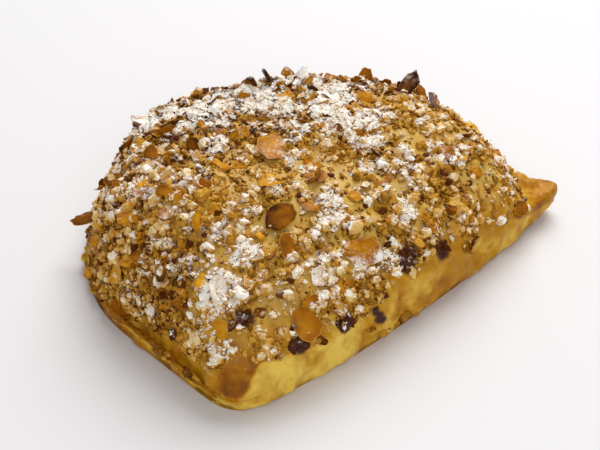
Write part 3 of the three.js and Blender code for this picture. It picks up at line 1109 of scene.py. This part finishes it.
def toasted_almond(colours):
    """Sliced almond, toasted: satin amber flesh inside a thin brown skin."""
    material, tree = new_tree("toasted_almond")
    place = node(tree, "ShaderNodeTexCoord", out="Object")
    tone = node(tree, "ShaderNodeAttribute", out="Fac", attribute_name="tone")
    stains = node(tree, "ShaderNodeTexNoise", {"Vector": place, "Scale": 1 / (3 * MM)})
    tone = node(tree, "ShaderNodeMath", {0: tone, 1: 0.7}, operation="MULTIPLY")
    tone = node(tree, "ShaderNodeMath", {0: stains, 1: 0.3, 2: tone}, operation="MULTIPLY_ADD")
    edge = node(tree, "ShaderNodeAttribute", out="Fac", attribute_name="rim")
    skin_brown = node(tree, "ShaderNodeMapRange", {0: edge, 1: 0.25, 2: 0.8, 3: 0.0, 4: 0.12})
    tone = node(tree, "ShaderNodeMath", {0: tone, 1: skin_brown}, operation="ADD")
    flesh = node(
        tree, "ShaderNodeValToRGB", {0: tone},
        stops=((0.15, colours.almond_pale), (0.5, colours.almond_amber), (0.88, colours.almond_dark))
    )
    edge = node(tree, "ShaderNodeMapRange", {0: edge, 1: 0.9, 2: 1.0, 3: 0.0, 4: 0.7})
    tint = node(
        tree, "ShaderNodeMix", {FACTOR: edge, FIRST: flesh, SECOND: colours.almond_edge}, RESULT,
        data_type="RGBA"
    )
    ripples = node(tree, "ShaderNodeTexNoise", {"Vector": place, "Scale": 1 / (1 * MM)})
    rough = node(tree, "ShaderNodeMapRange", {0: ripples, 1: 0.3, 2: 0.7, 3: 0.2, 4: 0.4})
    dusted_surface(tree, colours, tint, rough, ripples, 0.3 * MM, 0.0, 0.12)
    return material


def nut_crumble(colours):
    """Chopped nuts and butter crumble, baked: dry and porous grains, cream to brown, with painted shade
    between them.
    """
    material, tree = new_tree("nut_crumble")
    place = node(tree, "ShaderNodeTexCoord", out="Object")
    tone = node(tree, "ShaderNodeAttribute", out="Fac", attribute_name="tone")
    specks = node(tree, "ShaderNodeTexNoise", {"Vector": place, "Scale": 1 / (1.2 * MM), "Detail": 3.0})
    # Painted shade: crumbs low down and in the creases between lumps turn towards brown
    gaps = node(tree, "ShaderNodeAttribute", out="Fac", attribute_name="gap")
    tone = node(tree, "ShaderNodeMath", {0: tone, 1: 0.6}, operation="MULTIPLY")
    tone = node(tree, "ShaderNodeMath", {0: specks, 1: 0.4, 2: tone}, operation="MULTIPLY_ADD")
    tone = node(tree, "ShaderNodeMath", {0: gaps, 1: 0.72, 2: tone}, operation="MULTIPLY_ADD")
    tint = node(
        tree, "ShaderNodeValToRGB", {0: tone},
        stops=((0.25, colours.nut_cream), (0.5, colours.nut_tan), (0.85, colours.nut_brown))
    )
    pores = node(
        tree, "ShaderNodeTexNoise",
        {"Vector": place, "Scale": 1 / (0.6 * MM), "Detail": 3.0, "Roughness": 0.65}
    )
    rough = node(tree, "ShaderNodeMapRange", {0: specks, 1: 0.3, 2: 0.7, 3: 0.5, 4: 0.8})
    dusted_surface(tree, colours, tint, rough, pores, 0.3 * MM, 0.0, 0.15)
    return material


def burnt_sugar(colours):
    """Sugar syrup that boiled out and burnt: nearly black and glassy, brown where it is thin."""
    material, tree = new_tree("burnt_sugar")
    place = node(tree, "ShaderNodeTexCoord", out="Object")
    blisters = node(tree, "ShaderNodeTexNoise", {"Vector": place, "Scale": 1 / (1.6 * MM)})
    tint = node(
        tree, "ShaderNodeValToRGB", {0: blisters}, stops=((0.4, colours.burnt), (0.75, colours.dark_dough))
    )
    rough = node(tree, "ShaderNodeMapRange", {0: blisters, 1: 0.3, 2: 0.7, 3: 0.3, 4: 0.5})
    dusted_surface(tree, colours, tint, rough, blisters, 0.2 * MM, 0.1, 0.15)
    return material


def icing_sugar(colours):
    """Icing sugar: a fine white powder, matt, a little creamy where butter soaks into it."""
    material, tree = new_tree("icing_sugar")
    place = node(tree, "ShaderNodeTexCoord", out="Object")
    damp = node(tree, "ShaderNodeTexNoise", {"Vector": place, "Scale": 1 / (0.8 * MM)})
    tint = node(
        tree, "ShaderNodeValToRGB", {0: damp}, stops=((0.35, colours.sugar), (0.75, colours.damp_sugar))
    )
    surface = node(tree, "ShaderNodeBsdfPrincipled", {"Base Color": tint, "Roughness": 0.95, "IOR": 1.45})
    node(tree, "ShaderNodeOutputMaterial", {"Surface": surface})
    return material


def ring_drop(ring):
    """The drop at which a ring of the crust's mesh lies."""
    below = ring - DOME_RINGS
    side = EDGE_DROP + below / SIDE_RINGS
    under = FOOT_DROP + (below - SIDE_RINGS) / UNDER_RINGS
    return np.where(ring <= DOME_RINGS, ring / DOME_RINGS, np.where(below <= SIDE_RINGS, side, under))


def even_turns(dough, part):
    """Turns that divide the dough's edge into even steps, for parts from 0 to 1 of the way round."""
    turn = np.linspace(-math.pi, math.pi, EDGE_STEPS)
    edge = outline(dough, turn, np.ones_like(turn))
    run = np.concatenate(((0,), np.cumsum(np.linalg.norm(np.diff(edge, axis=0), axis=1))))
    return np.interp(part, run / run[-1], turn)


def wall_bake(dough, bake, points):
    """How brown the fold is: a pale wall with a skirt of glaze, and a lid that browns at the tips."""
    off_left = off_tip(dough, points, -1)
    off_right = off_tip(dough, points, 1)
    right = fade(off_right, RIGHT_BROWN)
    tips = np.minimum(fade(off_left, LEFT_BROWN) + right, 1)
    over = points[..., 2] - wall_line(dough, points) + MM * ripple(points, LID_EDGE)
    soft = mix(*LID_BLUR, tips)
    lid = smooth_step(-soft, soft, over)
    edge = tips * smooth_step(*BROWN_FROM, over) * smooth_step(*BROWN_TO, over)
    ends = bake.left_tip * fade(off_left, LEFT_END) + bake.right_tip * fade(off_right, RIGHT_END)
    along = smooth_step(*WALL_ENDS, points[..., 0])
    wall = mix(mix(bake.wall_left, bake.wall_right, along), bake.lid, lid)
    wall = np.maximum(wall, bake.skirt * skirt_cover(points))
    return wall + mix(bake.left_edge, bake.right_edge, right) * edge + ends * lid


def rim_bake(dough, bake, points, drop):
    """How brown the rim is: brown at its edge and at its foot, dark with painted shade in its crease, pale
    between them.
    """
    corner = fade(off_tip(dough, points, -1), CORNER_REACH)
    edge = smooth_step(*EDGE_STAIN, drop + CORNER_EDGE * corner + ripple(points, EDGE_WAVES))
    layer = smooth_step(*LAYER_FROM, drop + CORNER_EDGE * corner)
    # Painted shade along the crease between the two layers
    crease = fade(drop + CORNER_CREASE * corner - CREASE_DROP, CREASE_SHADE_WIDTH)
    foot = smooth_step(*FOOT_STAIN, drop + ripple(points, FOOT_WAVES) - CORNER_FOOT * corner)
    upper = mix(mix(bake.rim, bake.corner_rim, corner), bake.rim_edge, edge)
    lower = mix(bake.layer, bake.corner_layer, corner)
    stains = mix(bake.crease, bake.corner_crease, corner) * crease + bake.foot * foot
    return mix(upper, lower, layer) + stains


def crust_bake(dough, bake, points, turn, drop):
    """How brown the bare dough is, from 0 to 1, with painted shade in the rim's crease."""
    side = mix(rim_bake(dough, bake, points, drop), wall_bake(dough, bake, points), fold_share(turn))
    return np.where(drop > FOOT_DROP, bake.under, side) + ripple(points, MOTTLE)


def wall_wrinkles(points):
    """How far the bare wall's wrinkles and its skirt of glaze stand out."""
    waves = ripple(points, WALL_WAVES) + ripple(points * WRINKLE_STRETCH, WALL_WRINKLES)
    return MM * waves + SKIRT_RISE * skirt_cover(points)


def rim_layers(dough, points, drop):
    """How far the rim's frilled edge and its lower layer stand out."""
    down = np.sin(np.clip(drop - EDGE_DROP, 0, 1) * math.pi)
    frill = MM * fade(drop - FRILL_DROP, FRILL_WIDTH) * ripple(points, FRILL_WAVES)
    lower = (LAYER_FULLNESS * dough.seam + MM * ripple(points, LAYER_WAVES)) * down
    crease = dough.seam * fade(drop - CREASE_DROP, CREASE_WIDTH)
    split = SPLIT_DEPTH * fade(drop - SPLIT_DROP + ripple(points, SPLIT_WAVES), SPLIT_WIDTH)
    return lower - crease - split + frill


def crust_relief(dough, topping, points, turn, drop, cover):
    """How far the skin stands out: the bed of the topping, the wall's wrinkles and the rim's layers."""
    fold = fold_share(turn)
    lid = smooth_step(-LID_STEP, LID_STEP, points[..., 2] - wall_line(dough, points))
    bare = (1 - cover) * (wall_wrinkles(points) + LID_RISE * lid * fold)
    relief = bed_rise(dough, topping, points, cover) + bare
    return np.where(drop > FOOT_DROP, 0, relief + (1 - fold) * rim_layers(dough, points, drop))


def make_crust(scene):
    """The folded dough: a globe whose rings are moved onto the skin, with relief and browning."""
    dough, topping = scene.turnover_dough, scene.turnover_topping
    globe = bmesh.new()
    bmesh.ops.create_uvsphere(globe, u_segments=STEPS_AROUND, v_segments=RINGS, radius=1)
    mesh = bpy.data.meshes.new("crust")
    globe.to_mesh(mesh)
    globe.free()
    ball = vertex_places(mesh)
    turn = even_turns(dough, (np.arctan2(ball[:, 1], ball[:, 0]) / math.pi + 1) / 2)
    drop = ring_drop(np.round(np.arccos(np.clip(ball[:, 2], -1, 1)) / math.pi * RINGS))
    points = skin(dough, turn, drop)
    mesh.vertices.foreach_set("co", points.ravel())
    mesh.update()
    cover = topping_share(dough, topping, points, turn) * (drop < EDGE_DROP)
    places = points + vertex_normals(mesh) * crust_relief(dough, topping, points, turn, drop, cover)[:, None]
    places[:, 2] = np.maximum(places[:, 2], 0)
    mesh.vertices.foreach_set("co", places.ravel())
    mesh.update()
    # Browning of the bare dough, with painted shade in the rim's crease
    set_values(mesh, "bake", crust_bake(dough, scene.turnover_bake, points, turn, drop))
    pile = cover * pile_share(dough, topping, points)
    set_values(mesh, "bed", pile)
    # Painted shade in the gaps between the bed's grains, weaker on the open slope
    set_values(mesh, "gap", pile * gap_share(points) * mix(1, OPEN_GAP, open_share(points)))
    set_values(mesh, "film", np.clip(cover * smooth_step(*FILM_HEIGHT, points[:, 2]) - pile, 0, 1))
    set_values(mesh, "scorch", spot_share(dough, points))
    set_values(mesh, "lump", lump_share(points))
    mesh.shade_smooth()
    piece = add_piece(mesh, baked_dough(scene.turnover_colours))
    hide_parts("pastry")


def flake_turns(normals, lean, spin, swing):
    """Matrices that spin a flake, lean it and set it on the crust."""
    turns = []
    for normal, tilt, first, second in zip(normals, lean, spin, swing):
        stand = Vector((0, 1, 0)).rotation_difference(Vector(normal)).to_matrix()
        turn = Matrix.Rotation(second * 2 * math.pi, 3, "Y") @ Matrix.Rotation(tilt, 3, "Z")
        turns.append(stand @ turn @ Matrix.Rotation(first * 2 * math.pi, 3, "Y"))
    return np.array([list(map(list, turn)) for turn in turns])


def flake_lumps(topping, places, half, width, chop, rng):
    """Almond outlines before they are turned: pointed, chopped, curled and uneven."""
    count = len(half)
    x, y, z = (places[None, :, axis] for axis in range(3))
    far = np.sqrt(x ** 2 + z ** 2)
    uneven = 1 + FLAKE_UNEVEN * rng.uniform(-1, 1, (count, places.shape[0]))
    x_out = np.minimum(x * uneven, chop[:, None])
    z_out = z * uneven * (1 - FLAKE_POINT * x) * width[:, None]
    thick = y * topping.flake_thickness * (1 - FLAKE_TAPER * far ** 4)
    bend = topping.flake_curl * rng.uniform(*FLAKE_BEND, (count, 1)) * x_out ** 2
    twist = FLAKE_TWIST * topping.flake_curl * rng.uniform(-1, 1, (count, 1)) * x_out * z_out
    warp = FLAKE_WARP * rng.uniform(-1, 1, (count, places.shape[0]))
    half = half[:, None]
    return np.stack((x_out * half, thick + bend + twist + warp, z_out * half), -1)


def make_flakes(scene):
    """Almond flakes: the large ones of the solid, and broken ones between them."""
    dough, topping = scene.turnover_dough, scene.turnover_topping
    rng = np.random.default_rng(FLAKE_SEED)
    layout = Layout(dough, topping)
    count = topping.splinters
    turn, drop = sprinkle(dough, topping, count, lambda points: 1 - SPLINTER_FEWER * open_share(points), rng)
    large = len(layout.half)
    noted = len(NOTED_FLAKES)
    turn = np.concatenate((layout.turn, turn))
    drop = np.concatenate((layout.drop, drop))
    half = np.concatenate((layout.half, rng.uniform(*SPLINTER_HALF, count) * MM))
    half[:large] *= np.where(layout.lean > STANDING, 1, FLAT_SCALE)
    half[noted:large] *= rng.uniform(*LOOSE_SCALE, large - noted)
    width = np.concatenate((layout.width, rng.uniform(*SPLINTER_WIDTH, count)))
    width[:large] *= np.where(layout.lean > STANDING, STANDING_WIDTH, 1)
    lean = np.concatenate((layout.lean, np.radians(rng.uniform(*SPLINTER_LEAN, count))))
    spin = np.concatenate((layout.spin, rng.random(count)))
    swing = np.concatenate((layout.swing, rng.random(count)))
    chop = np.concatenate((rng.uniform(*FLAKE_CHOP, large), rng.uniform(*SPLINTER_CHOP, count)))
    tone = np.concatenate((rng.uniform(*FLAKE_TONE, large), rng.uniform(*SPLINTER_TONE, count)))
    tone[:noted] = [flake[4] for flake in NOTED_FLAKES]
    points = skin(dough, turn, drop)
    normals = unit(outward(dough, turn, drop))
    cover = topping_share(dough, topping, points, turn)
    lift = topping.flake_rise + STANDING_RISE * half * np.sin(lean) + bed_rise(dough, topping, points, cover)
    lift[noted:] -= rng.uniform(*FLAKE_SINK, len(lift) - noted) * MM
    places, faces = template(fill_flake)
    lumps = flake_lumps(topping, places, half, width, chop, rng)
    turns = flake_turns(normals, lean, spin, swing)
    placed, triangles = stamp(lumps, faces, turns, points + normals * lift[:, None])
    placed[:, 2] = np.maximum(placed[:, 2], FLAKE_FLOOR)
    mesh = joined_mesh("almond_flakes", placed, triangles)
    lengthwise = TOAST_LENGTHWISE * rng.uniform(-1, 1, (len(half), 1)) * places[None, :, 0]
    set_values(mesh, "tone", (tone[:, None] + lengthwise).ravel() + ripple(placed, TOAST_BLOTCHES))
    far = np.linalg.norm(places[:, (0, 2)], axis=1)
    set_values(mesh, "rim", np.tile(smooth_step(*FLAKE_RIM, far), len(half)))
    dusty = np.where(rng.random(len(half)) < DUSTY_SHARE, DUSTY, -DUSTY)
    dusty[:noted] = [flake[5] for flake in NOTED_FLAKES]
    set_values(mesh, "lump", np.repeat(dusty, len(places)))
    mesh.shade_smooth()
    mesh.set_sharp_from_angle(angle=FLAKE_CREASE)
    add_piece(mesh, toasted_almond(scene.turnover_colours))


def crumble_tone(dough, points, rng):
    """How brown each lump is: more at the back, less at the left, and dark in the burnt spots."""
    left = smooth_step(*TONE_LEFT_X, points[:, 0]) * smooth_step(*TONE_LEFT_Y, points[:, 1])
    left = np.maximum(left, TONE_CORNER * fade(off_tip(dough, points, -1), TONE_CORNER_REACH))
    shut = 1 - open_share(points)
    mood = rng.random(len(points))
    scorched = SCORCHED_TONE * smooth_step(*SCORCHED, mood + SCORCHED_SHUT * shut)
    tone = TONE_SPREAD * mood + TONE_SHUT * shut + TONE_BASE + TONE_LEFT * left + scorched
    return np.maximum(tone, BURNT_TONE * spot_share(dough, points))


def rough_lumps(places, radius, uneven, stretch, rng):
    """Copies of a round shape, one for each radius, each uneven and stretched its own way."""
    count = len(radius)
    bumps = 1 + uneven * rng.uniform(-1, 1, (count, len(places), 1))
    return places * bumps * radius[:, None, None] * rng.uniform(*stretch, (count, 1, 3))


def make_lumps(scene, name, count, radii, tone_shift, seed, fill, large=None):
    """One kind of crumb, scattered over the topping and piled into clumps; painted shade where it meets the
    crust.
    """
    dough, topping = scene.turnover_dough, scene.turnover_topping
    rng = np.random.default_rng(seed)

    def density(points):
        return mix(GLAZE_DENSITY, 1, pile_share(dough, topping, points))

    turn, drop = sprinkle(dough, topping, count, density, rng)
    radius = mix(*radii, rng.random(count) ** CRUMB_FALL_OFF) * MM
    lift = radius * rng.uniform(*CRUMB_SEAT, count)
    if large is not None:
        turn = np.concatenate((np.repeat(large.crumb_turn, CLUSTER), turn))
        drop = np.concatenate((np.repeat(large.crumb_drop, CLUSTER), drop))
        whole = np.repeat(large.crumb_radius, CLUSTER)
        part = rng.uniform(*CLUSTER_PART, len(whole))
        part[::CLUSTER] = CLUSTER_MAIN
        radius = np.concatenate((whole * part, radius))
        lift = np.concatenate((whole * rng.uniform(*CLUSTER_LIFT, len(whole)), lift))
    points = skin(dough, turn, drop)
    normals = unit(outward(dough, turn, drop))
    if large is not None:
        outs = normals[:len(whole)]
        aside = rng.normal(size=(len(whole), 3)) * CLUSTER_SPREAD * whole[:, None]
        aside[::CLUSTER] = 0
        points[:len(whole)] += aside - outs * np.sum(aside * outs, 1)[:, None]
    bed = bed_rise(dough, topping, points, topping_share(dough, topping, points, turn))
    places, faces = template(fill)
    lumps = rough_lumps(places, radius, CRUMB_UNEVEN, CRUMB_STRETCH, rng)
    total = len(radius)
    placed, triangles = stamp(lumps, faces, any_turns(rng, total), points + normals * (bed + lift)[:, None])
    mesh = joined_mesh(name, placed, triangles)
    set_values(mesh, "tone", np.repeat(crumble_tone(dough, points, rng) + tone_shift, len(places)))
    # Painted shade: darker low on each crumb near the crust, and in the creases off the lumps' tops, by place
    rise = np.sum((placed.reshape(total, -1, 3) - points[:, None]) * normals[:, None], -1) - bed[:, None]
    top = lump_share(points)
    depth = np.maximum(smooth_step(*CREVICE, rise), CREVICE_SIDE * (1 - top)[:, None])
    left = smooth_step(*CREVICE_LEFT_X, points[:, 0])
    deep = mix(mix(CREVICE_SHUT, CREVICE_OPEN, open_share(points)), CREVICE_LEFT, left)
    set_values(mesh, "gap", (depth * deep[:, None]).ravel())
    set_values(mesh, "lump", np.repeat(top, len(places)))
    return mesh


def make_scraps(dough):
    """Torn bits of crust that cling to the foot of the wall and the edge of the rim."""
    rng = np.random.default_rng(SCRAP_SEED)
    rows = np.repeat(np.array(SCRAPS), SCRAP_COUNT, axis=0)
    turn = np.radians(rows[:, 0] + rng.normal(size=len(rows)))
    drop = rows[:, 1] + SCRAP_SPREAD * rng.normal(size=len(rows))
    points = skin(dough, turn, drop)
    points[:, 2] = np.maximum(points[:, 2], SCRAP_HEIGHT)
    places, faces = template(fill_lump)
    radius = rows[:, 2] * MM * rng.uniform(*SCRAP_SIZE, len(rows))
    lumps = rough_lumps(places, radius, SCRAP_UNEVEN, SCRAP_STRETCH, rng)
    placed, triangles = stamp(lumps, faces, any_turns(rng, len(rows)), points)
    placed[:, 2] = np.maximum(placed[:, 2], SCRAP_FLOOR)
    mesh = joined_mesh("crust_scraps", placed, triangles)
    tone = np.clip(rows[:, 3] + SCRAP_TONE * rng.normal(size=len(rows)), 0, 1)
    set_values(mesh, "tone", np.repeat(tone, len(places)))
    return mesh


def make_crumble(scene):
    """Chopped nuts, toasted lumps and fine crumbs, and scraps of crust at the foot."""
    dough, topping = scene.turnover_dough, scene.turnover_topping
    layout = Layout(dough, topping)
    loose = topping.nut_bits - CLUSTER * len(layout.crumbs)
    material = nut_crumble(scene.turnover_colours)
    kinds = (
        ("nut_bits", loose, NUT_RADIUS, 0.0, NUT_SEED, fill_lump, layout),
        ("toasted_bits", topping.toasted_bits, TOASTED_RADIUS, SMALL_TONE, TOASTED_SEED, fill_grain),
        ("fine_crumbs", topping.fine_crumbs, FINE_RADIUS, SMALL_TONE, FINE_SEED, fill_grain),
    )
    for kind in kinds:
        add_piece(make_lumps(scene, *kind), material)
    add_piece(make_scraps(dough), material)


def make_burnt(scene):
    """Drops of burnt sugar in the scorched spots."""
    dough = scene.turnover_dough
    rng = np.random.default_rng(BURNT_SEED)
    turns, drops, sizes = [], [], []
    for turn, drop, radius in BURNT_SPOTS:
        for _ in range(BURNT_COUNT):
            turns.append(np.radians(turn) + rng.normal() * BURNT_SPREAD * radius / BURNT_TURN)
            drops.append(drop + rng.normal() * BURNT_SPREAD * radius / BURNT_DROP)
            sizes.append(radius * rng.uniform(*BURNT_SIZE) * MM)
    turn, drop, radius = np.array(turns), np.array(drops), np.array(sizes)
    count = len(radius)
    points = skin(dough, turn, drop)
    normals = unit(outward(dough, turn, np.minimum(drop, BURNT_LIMIT)))
    places, faces = template(fill_lump)
    lumps = rough_lumps(places, radius, BURNT_UNEVEN, BURNT_STRETCH, rng)
    placed, triangles = stamp(lumps, faces, any_turns(rng, count), points)
    rise = np.sum((placed.reshape(count, -1, 3) - points[:, None]) * normals[:, None], -1)
    sunk = BURNT_FLATTEN * rise.ravel() - BURNT_RISE
    placed = placed - np.repeat(normals, len(places), 0) * sunk[:, None]
    mesh = joined_mesh("burnt_drops", placed, triangles)
    set_values(mesh, "lump", np.full(len(placed), DUSTY))
    mesh.shade_smooth()
    add_piece(mesh, burnt_sugar(scene.turnover_colours))


def height_cells(places):
    """Highest place over each cell of a square grid on the table."""
    cells = np.zeros((CELLS, CELLS))
    np.maximum.at(cells, cell_of(places), places[:, 2])
    return cells


def cell_of(places):
    """Column and row of the cell below each place."""
    return tuple(np.clip((places[:, :2] / CELL + CELLS / 2).astype(int), 0, CELLS - 1).T)


def around(cells, merge):
    """Merges each cell with its eight neighbours."""
    steps = (-1, 0, 1)
    return merge([np.roll(cells, (i, j), (0, 1)) for i in steps for j in steps], axis=0)


def sky_share(cells, places):
    """1 where nothing lies above a place, 0 in the gaps below."""
    return smooth_step(*SKY, places[:, 2] - cells[cell_of(places)])


def make_drifts(dough, cells):
    """Icing sugar that fills the gaps in the heaps: a sheet draped over the topping where it lies thick."""
    tops = around(cells, np.max)
    level = around(around(tops, np.mean), np.mean) - DRIFT_DEPTH
    steps = (np.arange(CELLS) + 0.5 - CELLS / 2) * CELL
    x, y = np.meshgrid(steps, steps, indexing="ij")
    points = np.stack((x, y, level), -1)
    amount = sugar_share(dough, points) + ripple(points, DRIFT_EDGE)
    slope = np.hypot(*np.gradient(level, CELL))
    amount = amount * smooth_step(*DRIFT_SLOPE, slope) * (level > DRIFT_LOWEST)
    points[..., 2] += MM * ripple(points, DRIFT_WAVES) - DRIFT_SINK * smooth_step(*DRIFT_SINK_FROM, amount)
    inside = amount > DRIFT_LEAST
    whole = inside[:-1, :-1] & inside[1:, :-1] & inside[1:, 1:] & inside[:-1, 1:]
    index = np.arange(CELLS * CELLS).reshape(CELLS, CELLS)
    quads = np.stack((index[:-1, :-1], index[1:, :-1], index[1:, 1:], index[:-1, 1:]), -1)[whole]
    used, faces = np.unique(quads, return_inverse=True)
    sheet = bmesh.new()
    spots = [sheet.verts.new(place) for place in points.reshape(-1, 3)[used]]
    for corners in faces.reshape(-1, 4):
        sheet.faces.new([spots[corner] for corner in corners])
    top = bmesh.ops.extrude_face_region(sheet, geom=sheet.faces[:], use_keep_orig=True)["geom"]
    lifted = [item for item in top if isinstance(item, bmesh.types.BMVert)]
    bmesh.ops.translate(sheet, verts=lifted, vec=(0, 0, DRIFT_THICKNESS))
    bmesh.ops.recalc_face_normals(sheet, faces=sheet.faces[:])
    mesh = bpy.data.meshes.new("sugar_drifts")
    sheet.to_mesh(mesh)
    sheet.free()
    mesh.shade_smooth()
    return mesh


def dust(dough, mesh, places, shelter):
    """Stores how much sugar lies on a mesh, and returns how many loose grains each vertex may hold."""
    fallen = sugar_share(dough, places) + SUGAR_LUMP * vertex_values(mesh, "lump")
    amount = fallen * sky_share(shelter, places)
    if mesh.name == "crust":
        amount = mix(SUGAR_BARE, 1, vertex_values(mesh, "bed")) * amount
    set_values(mesh, "sugar", amount)
    facing = smooth_step(*GRAIN_FACING, vertex_normals(mesh)[:, 2])
    lying = amount * facing * smooth_step(*GRAIN_LOWEST, places[:, 2])
    return np.maximum(lying - GRAIN_LEAST, 0)


def make_sugar(scene):
    """Icing sugar: dust on whatever faces the sky, loose grains on top of it, and drifts in the heaps."""
    dough = scene.turnover_dough
    rng = np.random.default_rng(SUGAR_SEED)
    meshes = [bpy.data.objects[name].data for name in DUSTED]
    everything = [vertex_places(mesh) for mesh in meshes]
    cells = height_cells(np.concatenate(everything))
    slope = np.hypot(*np.gradient(around(around(cells, np.max), np.mean), CELL))
    shelter = cells - SHELTER * CELL * np.minimum(slope, SHELTER_SLOPE)
    weights = np.concatenate([dust(dough, mesh, seen, shelter) for mesh, seen in zip(meshes, everything)])
    seats = np.concatenate(everything)
    outs = np.concatenate([vertex_normals(mesh) for mesh in meshes])
    count = scene.turnover_topping.sugar_grains
    picks = rng.choice(len(weights), count, p=weights / weights.sum())
    radius = rng.uniform(*GRAIN_RADIUS, count) * MM
    centres = seats[picks] + outs[picks] * GRAIN_LIFT + rng.normal(size=(count, 3)) * GRAIN_SPREAD
    places, faces = template(fill_grain)
    lumps = places * radius[:, None, None] * rng.uniform(*GRAIN_UNEVEN, (count, len(places), 1))
    placed, triangles = stamp(lumps, faces, any_turns(rng, count), centres)
    material = icing_sugar(scene.turnover_colours)
    add_piece(joined_mesh("sugar_grains", placed, triangles), material)
    add_piece(make_drifts(dough, cells), material)


def white_table(stage):
    """White laminate: pale, smooth and slightly satin."""
    material, tree = new_tree("white_table")
    surface = node(
        tree, "ShaderNodeBsdfPrincipled", {"Base Color": stage.floor, "Roughness": 0.6, "IOR": 1.45}
    )
    node(tree, "ShaderNodeOutputMaterial", {"Surface": surface})
    return material


def add_light(name, place, aim, width, power):
    """A square soft light that faces an aim."""
    lamp = bpy.data.lights.new(name, "AREA")
    lamp.size = width
    lamp.energy = power
    holder = bpy.data.objects.new(name, lamp)
    holder.location = place
    holder.rotation_euler = (Vector(place) - Vector(aim)).to_track_quat("Z", "Y").to_euler()
    bpy.context.scene.collection.objects.link(holder)


def make_stage(scene):
    """A pale table under soft light, and the camera."""
    stage = scene.turnover_stage
    bench = bmesh.new()
    bmesh.ops.create_grid(bench, x_segments=8, y_segments=8, size=stage.floor_width / 2)
    mesh = bpy.data.meshes.new("table")
    bench.to_mesh(mesh)
    bench.free()
    mesh.materials.append(white_table(stage))
    table = bpy.data.objects.new("table", mesh)
    scene.collection.objects.link(table)

    azimuth, elevation = stage.azimuth, stage.elevation
    away = Vector((
        math.sin(azimuth) * math.cos(elevation), -math.cos(azimuth) * math.cos(elevation), math.sin(elevation)
    ))
    right = Vector((math.cos(azimuth), math.sin(azimuth), 0))
    up = away.cross(right)
    aim = Vector((0, 0, stage.aim_height)) + right * stage.aim_right + up * stage.aim_up
    lens = bpy.data.cameras.new("camera")
    lens.lens = stage.lens
    lens.sensor_width = stage.sensor
    camera = bpy.data.objects.new("camera", lens)
    camera.location = aim + away * stage.distance
    camera.rotation_euler = away.to_track_quat("Z", "Y").to_euler()
    scene.collection.objects.link(camera)
    scene.camera = camera

    behind = Vector((-right.y, right.x, 0))
    high = Vector((0, 0, stage.overhead_height))
    overhead = behind * stage.overhead_back + right * stage.overhead_right + high
    add_light("overhead", overhead, (0, 0, 0), stage.overhead_width, stage.overhead_power)
    fill = away * stage.fill_distance + right * stage.fill_right
    add_light("front_fill", fill, (0, 0, stage.fill_aim), stage.fill_width, stage.fill_power)

    world = bpy.data.worlds.new("studio")
    world.use_nodes = True
    background = world.node_tree.nodes["Background"]
    background.inputs["Color"].default_value = (1, 1, 1, 1)
    background.inputs["Strength"].default_value = stage.sky
    scene.world = world
    scene.view_settings.view_transform = "Standard"


class TURNOVER_OT_crust(bpy.types.Operator):
    """Adds the folded dough with its sealed rim, glazed lid and pale wall"""

    bl_idname = "turnover.crust"
    bl_label = "Crust"

    def execute(self, context):
        make_crust(context.scene)
        return {"FINISHED"}


class TURNOVER_OT_flakes(bpy.types.Operator):
    """Adds the almond flakes"""

    bl_idname = "turnover.flakes"
    bl_label = "Almond Flakes"

    def execute(self, context):
        make_flakes(context.scene)
        return {"FINISHED"}


class TURNOVER_OT_crumble(bpy.types.Operator):
    """Adds the chopped nuts, toasted lumps, fine crumbs and scraps of crust"""

    bl_idname = "turnover.crumble"
    bl_label = "Nut Crumble"

    def execute(self, context):
        make_crumble(context.scene)
        return {"FINISHED"}


class TURNOVER_OT_burnt(bpy.types.Operator):
    """Adds the drops of burnt sugar"""

    bl_idname = "turnover.burnt"
    bl_label = "Burnt Sugar"

    def execute(self, context):
        make_burnt(context.scene)
        return {"FINISHED"}


class TURNOVER_OT_sugar(bpy.types.Operator):
    """Dusts the crust and its topping with icing sugar, and adds its grains and drifts"""

    bl_idname = "turnover.sugar"
    bl_label = "Icing Sugar"

    def execute(self, context):
        make_sugar(context.scene)
        return {"FINISHED"}


class TURNOVER_OT_stage(bpy.types.Operator):
    """Adds the table, the lights and the camera"""

    bl_idname = "turnover.stage"
    bl_label = "Stage"

    def execute(self, context):
        make_stage(context.scene)
        return {"FINISHED"}


OPERATORS = (
    TURNOVER_OT_crust, TURNOVER_OT_flakes, TURNOVER_OT_crumble, TURNOVER_OT_burnt, TURNOVER_OT_sugar,
    TURNOVER_OT_stage,
)


class TURNOVER_PT_pieces(bpy.types.Panel):
    """Lists the pieces of the turnover"""

    bl_idname = "TURNOVER_PT_pieces"
    bl_label = "Turnover"
    bl_space_type = "VIEW_3D"
    bl_region_type = "UI"
    bl_category = "Turnover"

    def draw(self, context):
        for operator in OPERATORS:
            self.layout.operator(operator.bl_idname)


GROUPS = (
    ("turnover_dough", DoughSizes), ("turnover_topping", ToppingSizes),
    ("turnover_bake", BakeLevels), ("turnover_colours", PastryColours), ("turnover_stage", StageSizes),
)
CLASSES = tuple(group for _, group in GROUPS) + OPERATORS + (TURNOVER_PT_pieces,)


def register():
    for kind in CLASSES:
        bpy.utils.register_class(kind)
    for name, group in GROUPS:
        setattr(bpy.types.Scene, name, bpy.props.PointerProperty(type=group))


def unregister():
    for name, _ in GROUPS:
        delattr(bpy.types.Scene, name)
    for kind in reversed(CLASSES):
        bpy.utils.unregister_class(kind)


def main():
    register()
    bpy.ops.turnover.crust()
    bpy.ops.turnover.flakes()
    bpy.ops.turnover.crumble()
    bpy.ops.turnover.burnt()
    bpy.ops.turnover.sugar()
    bpy.ops.turnover.stage()


if __name__ == "__main__":
    main()
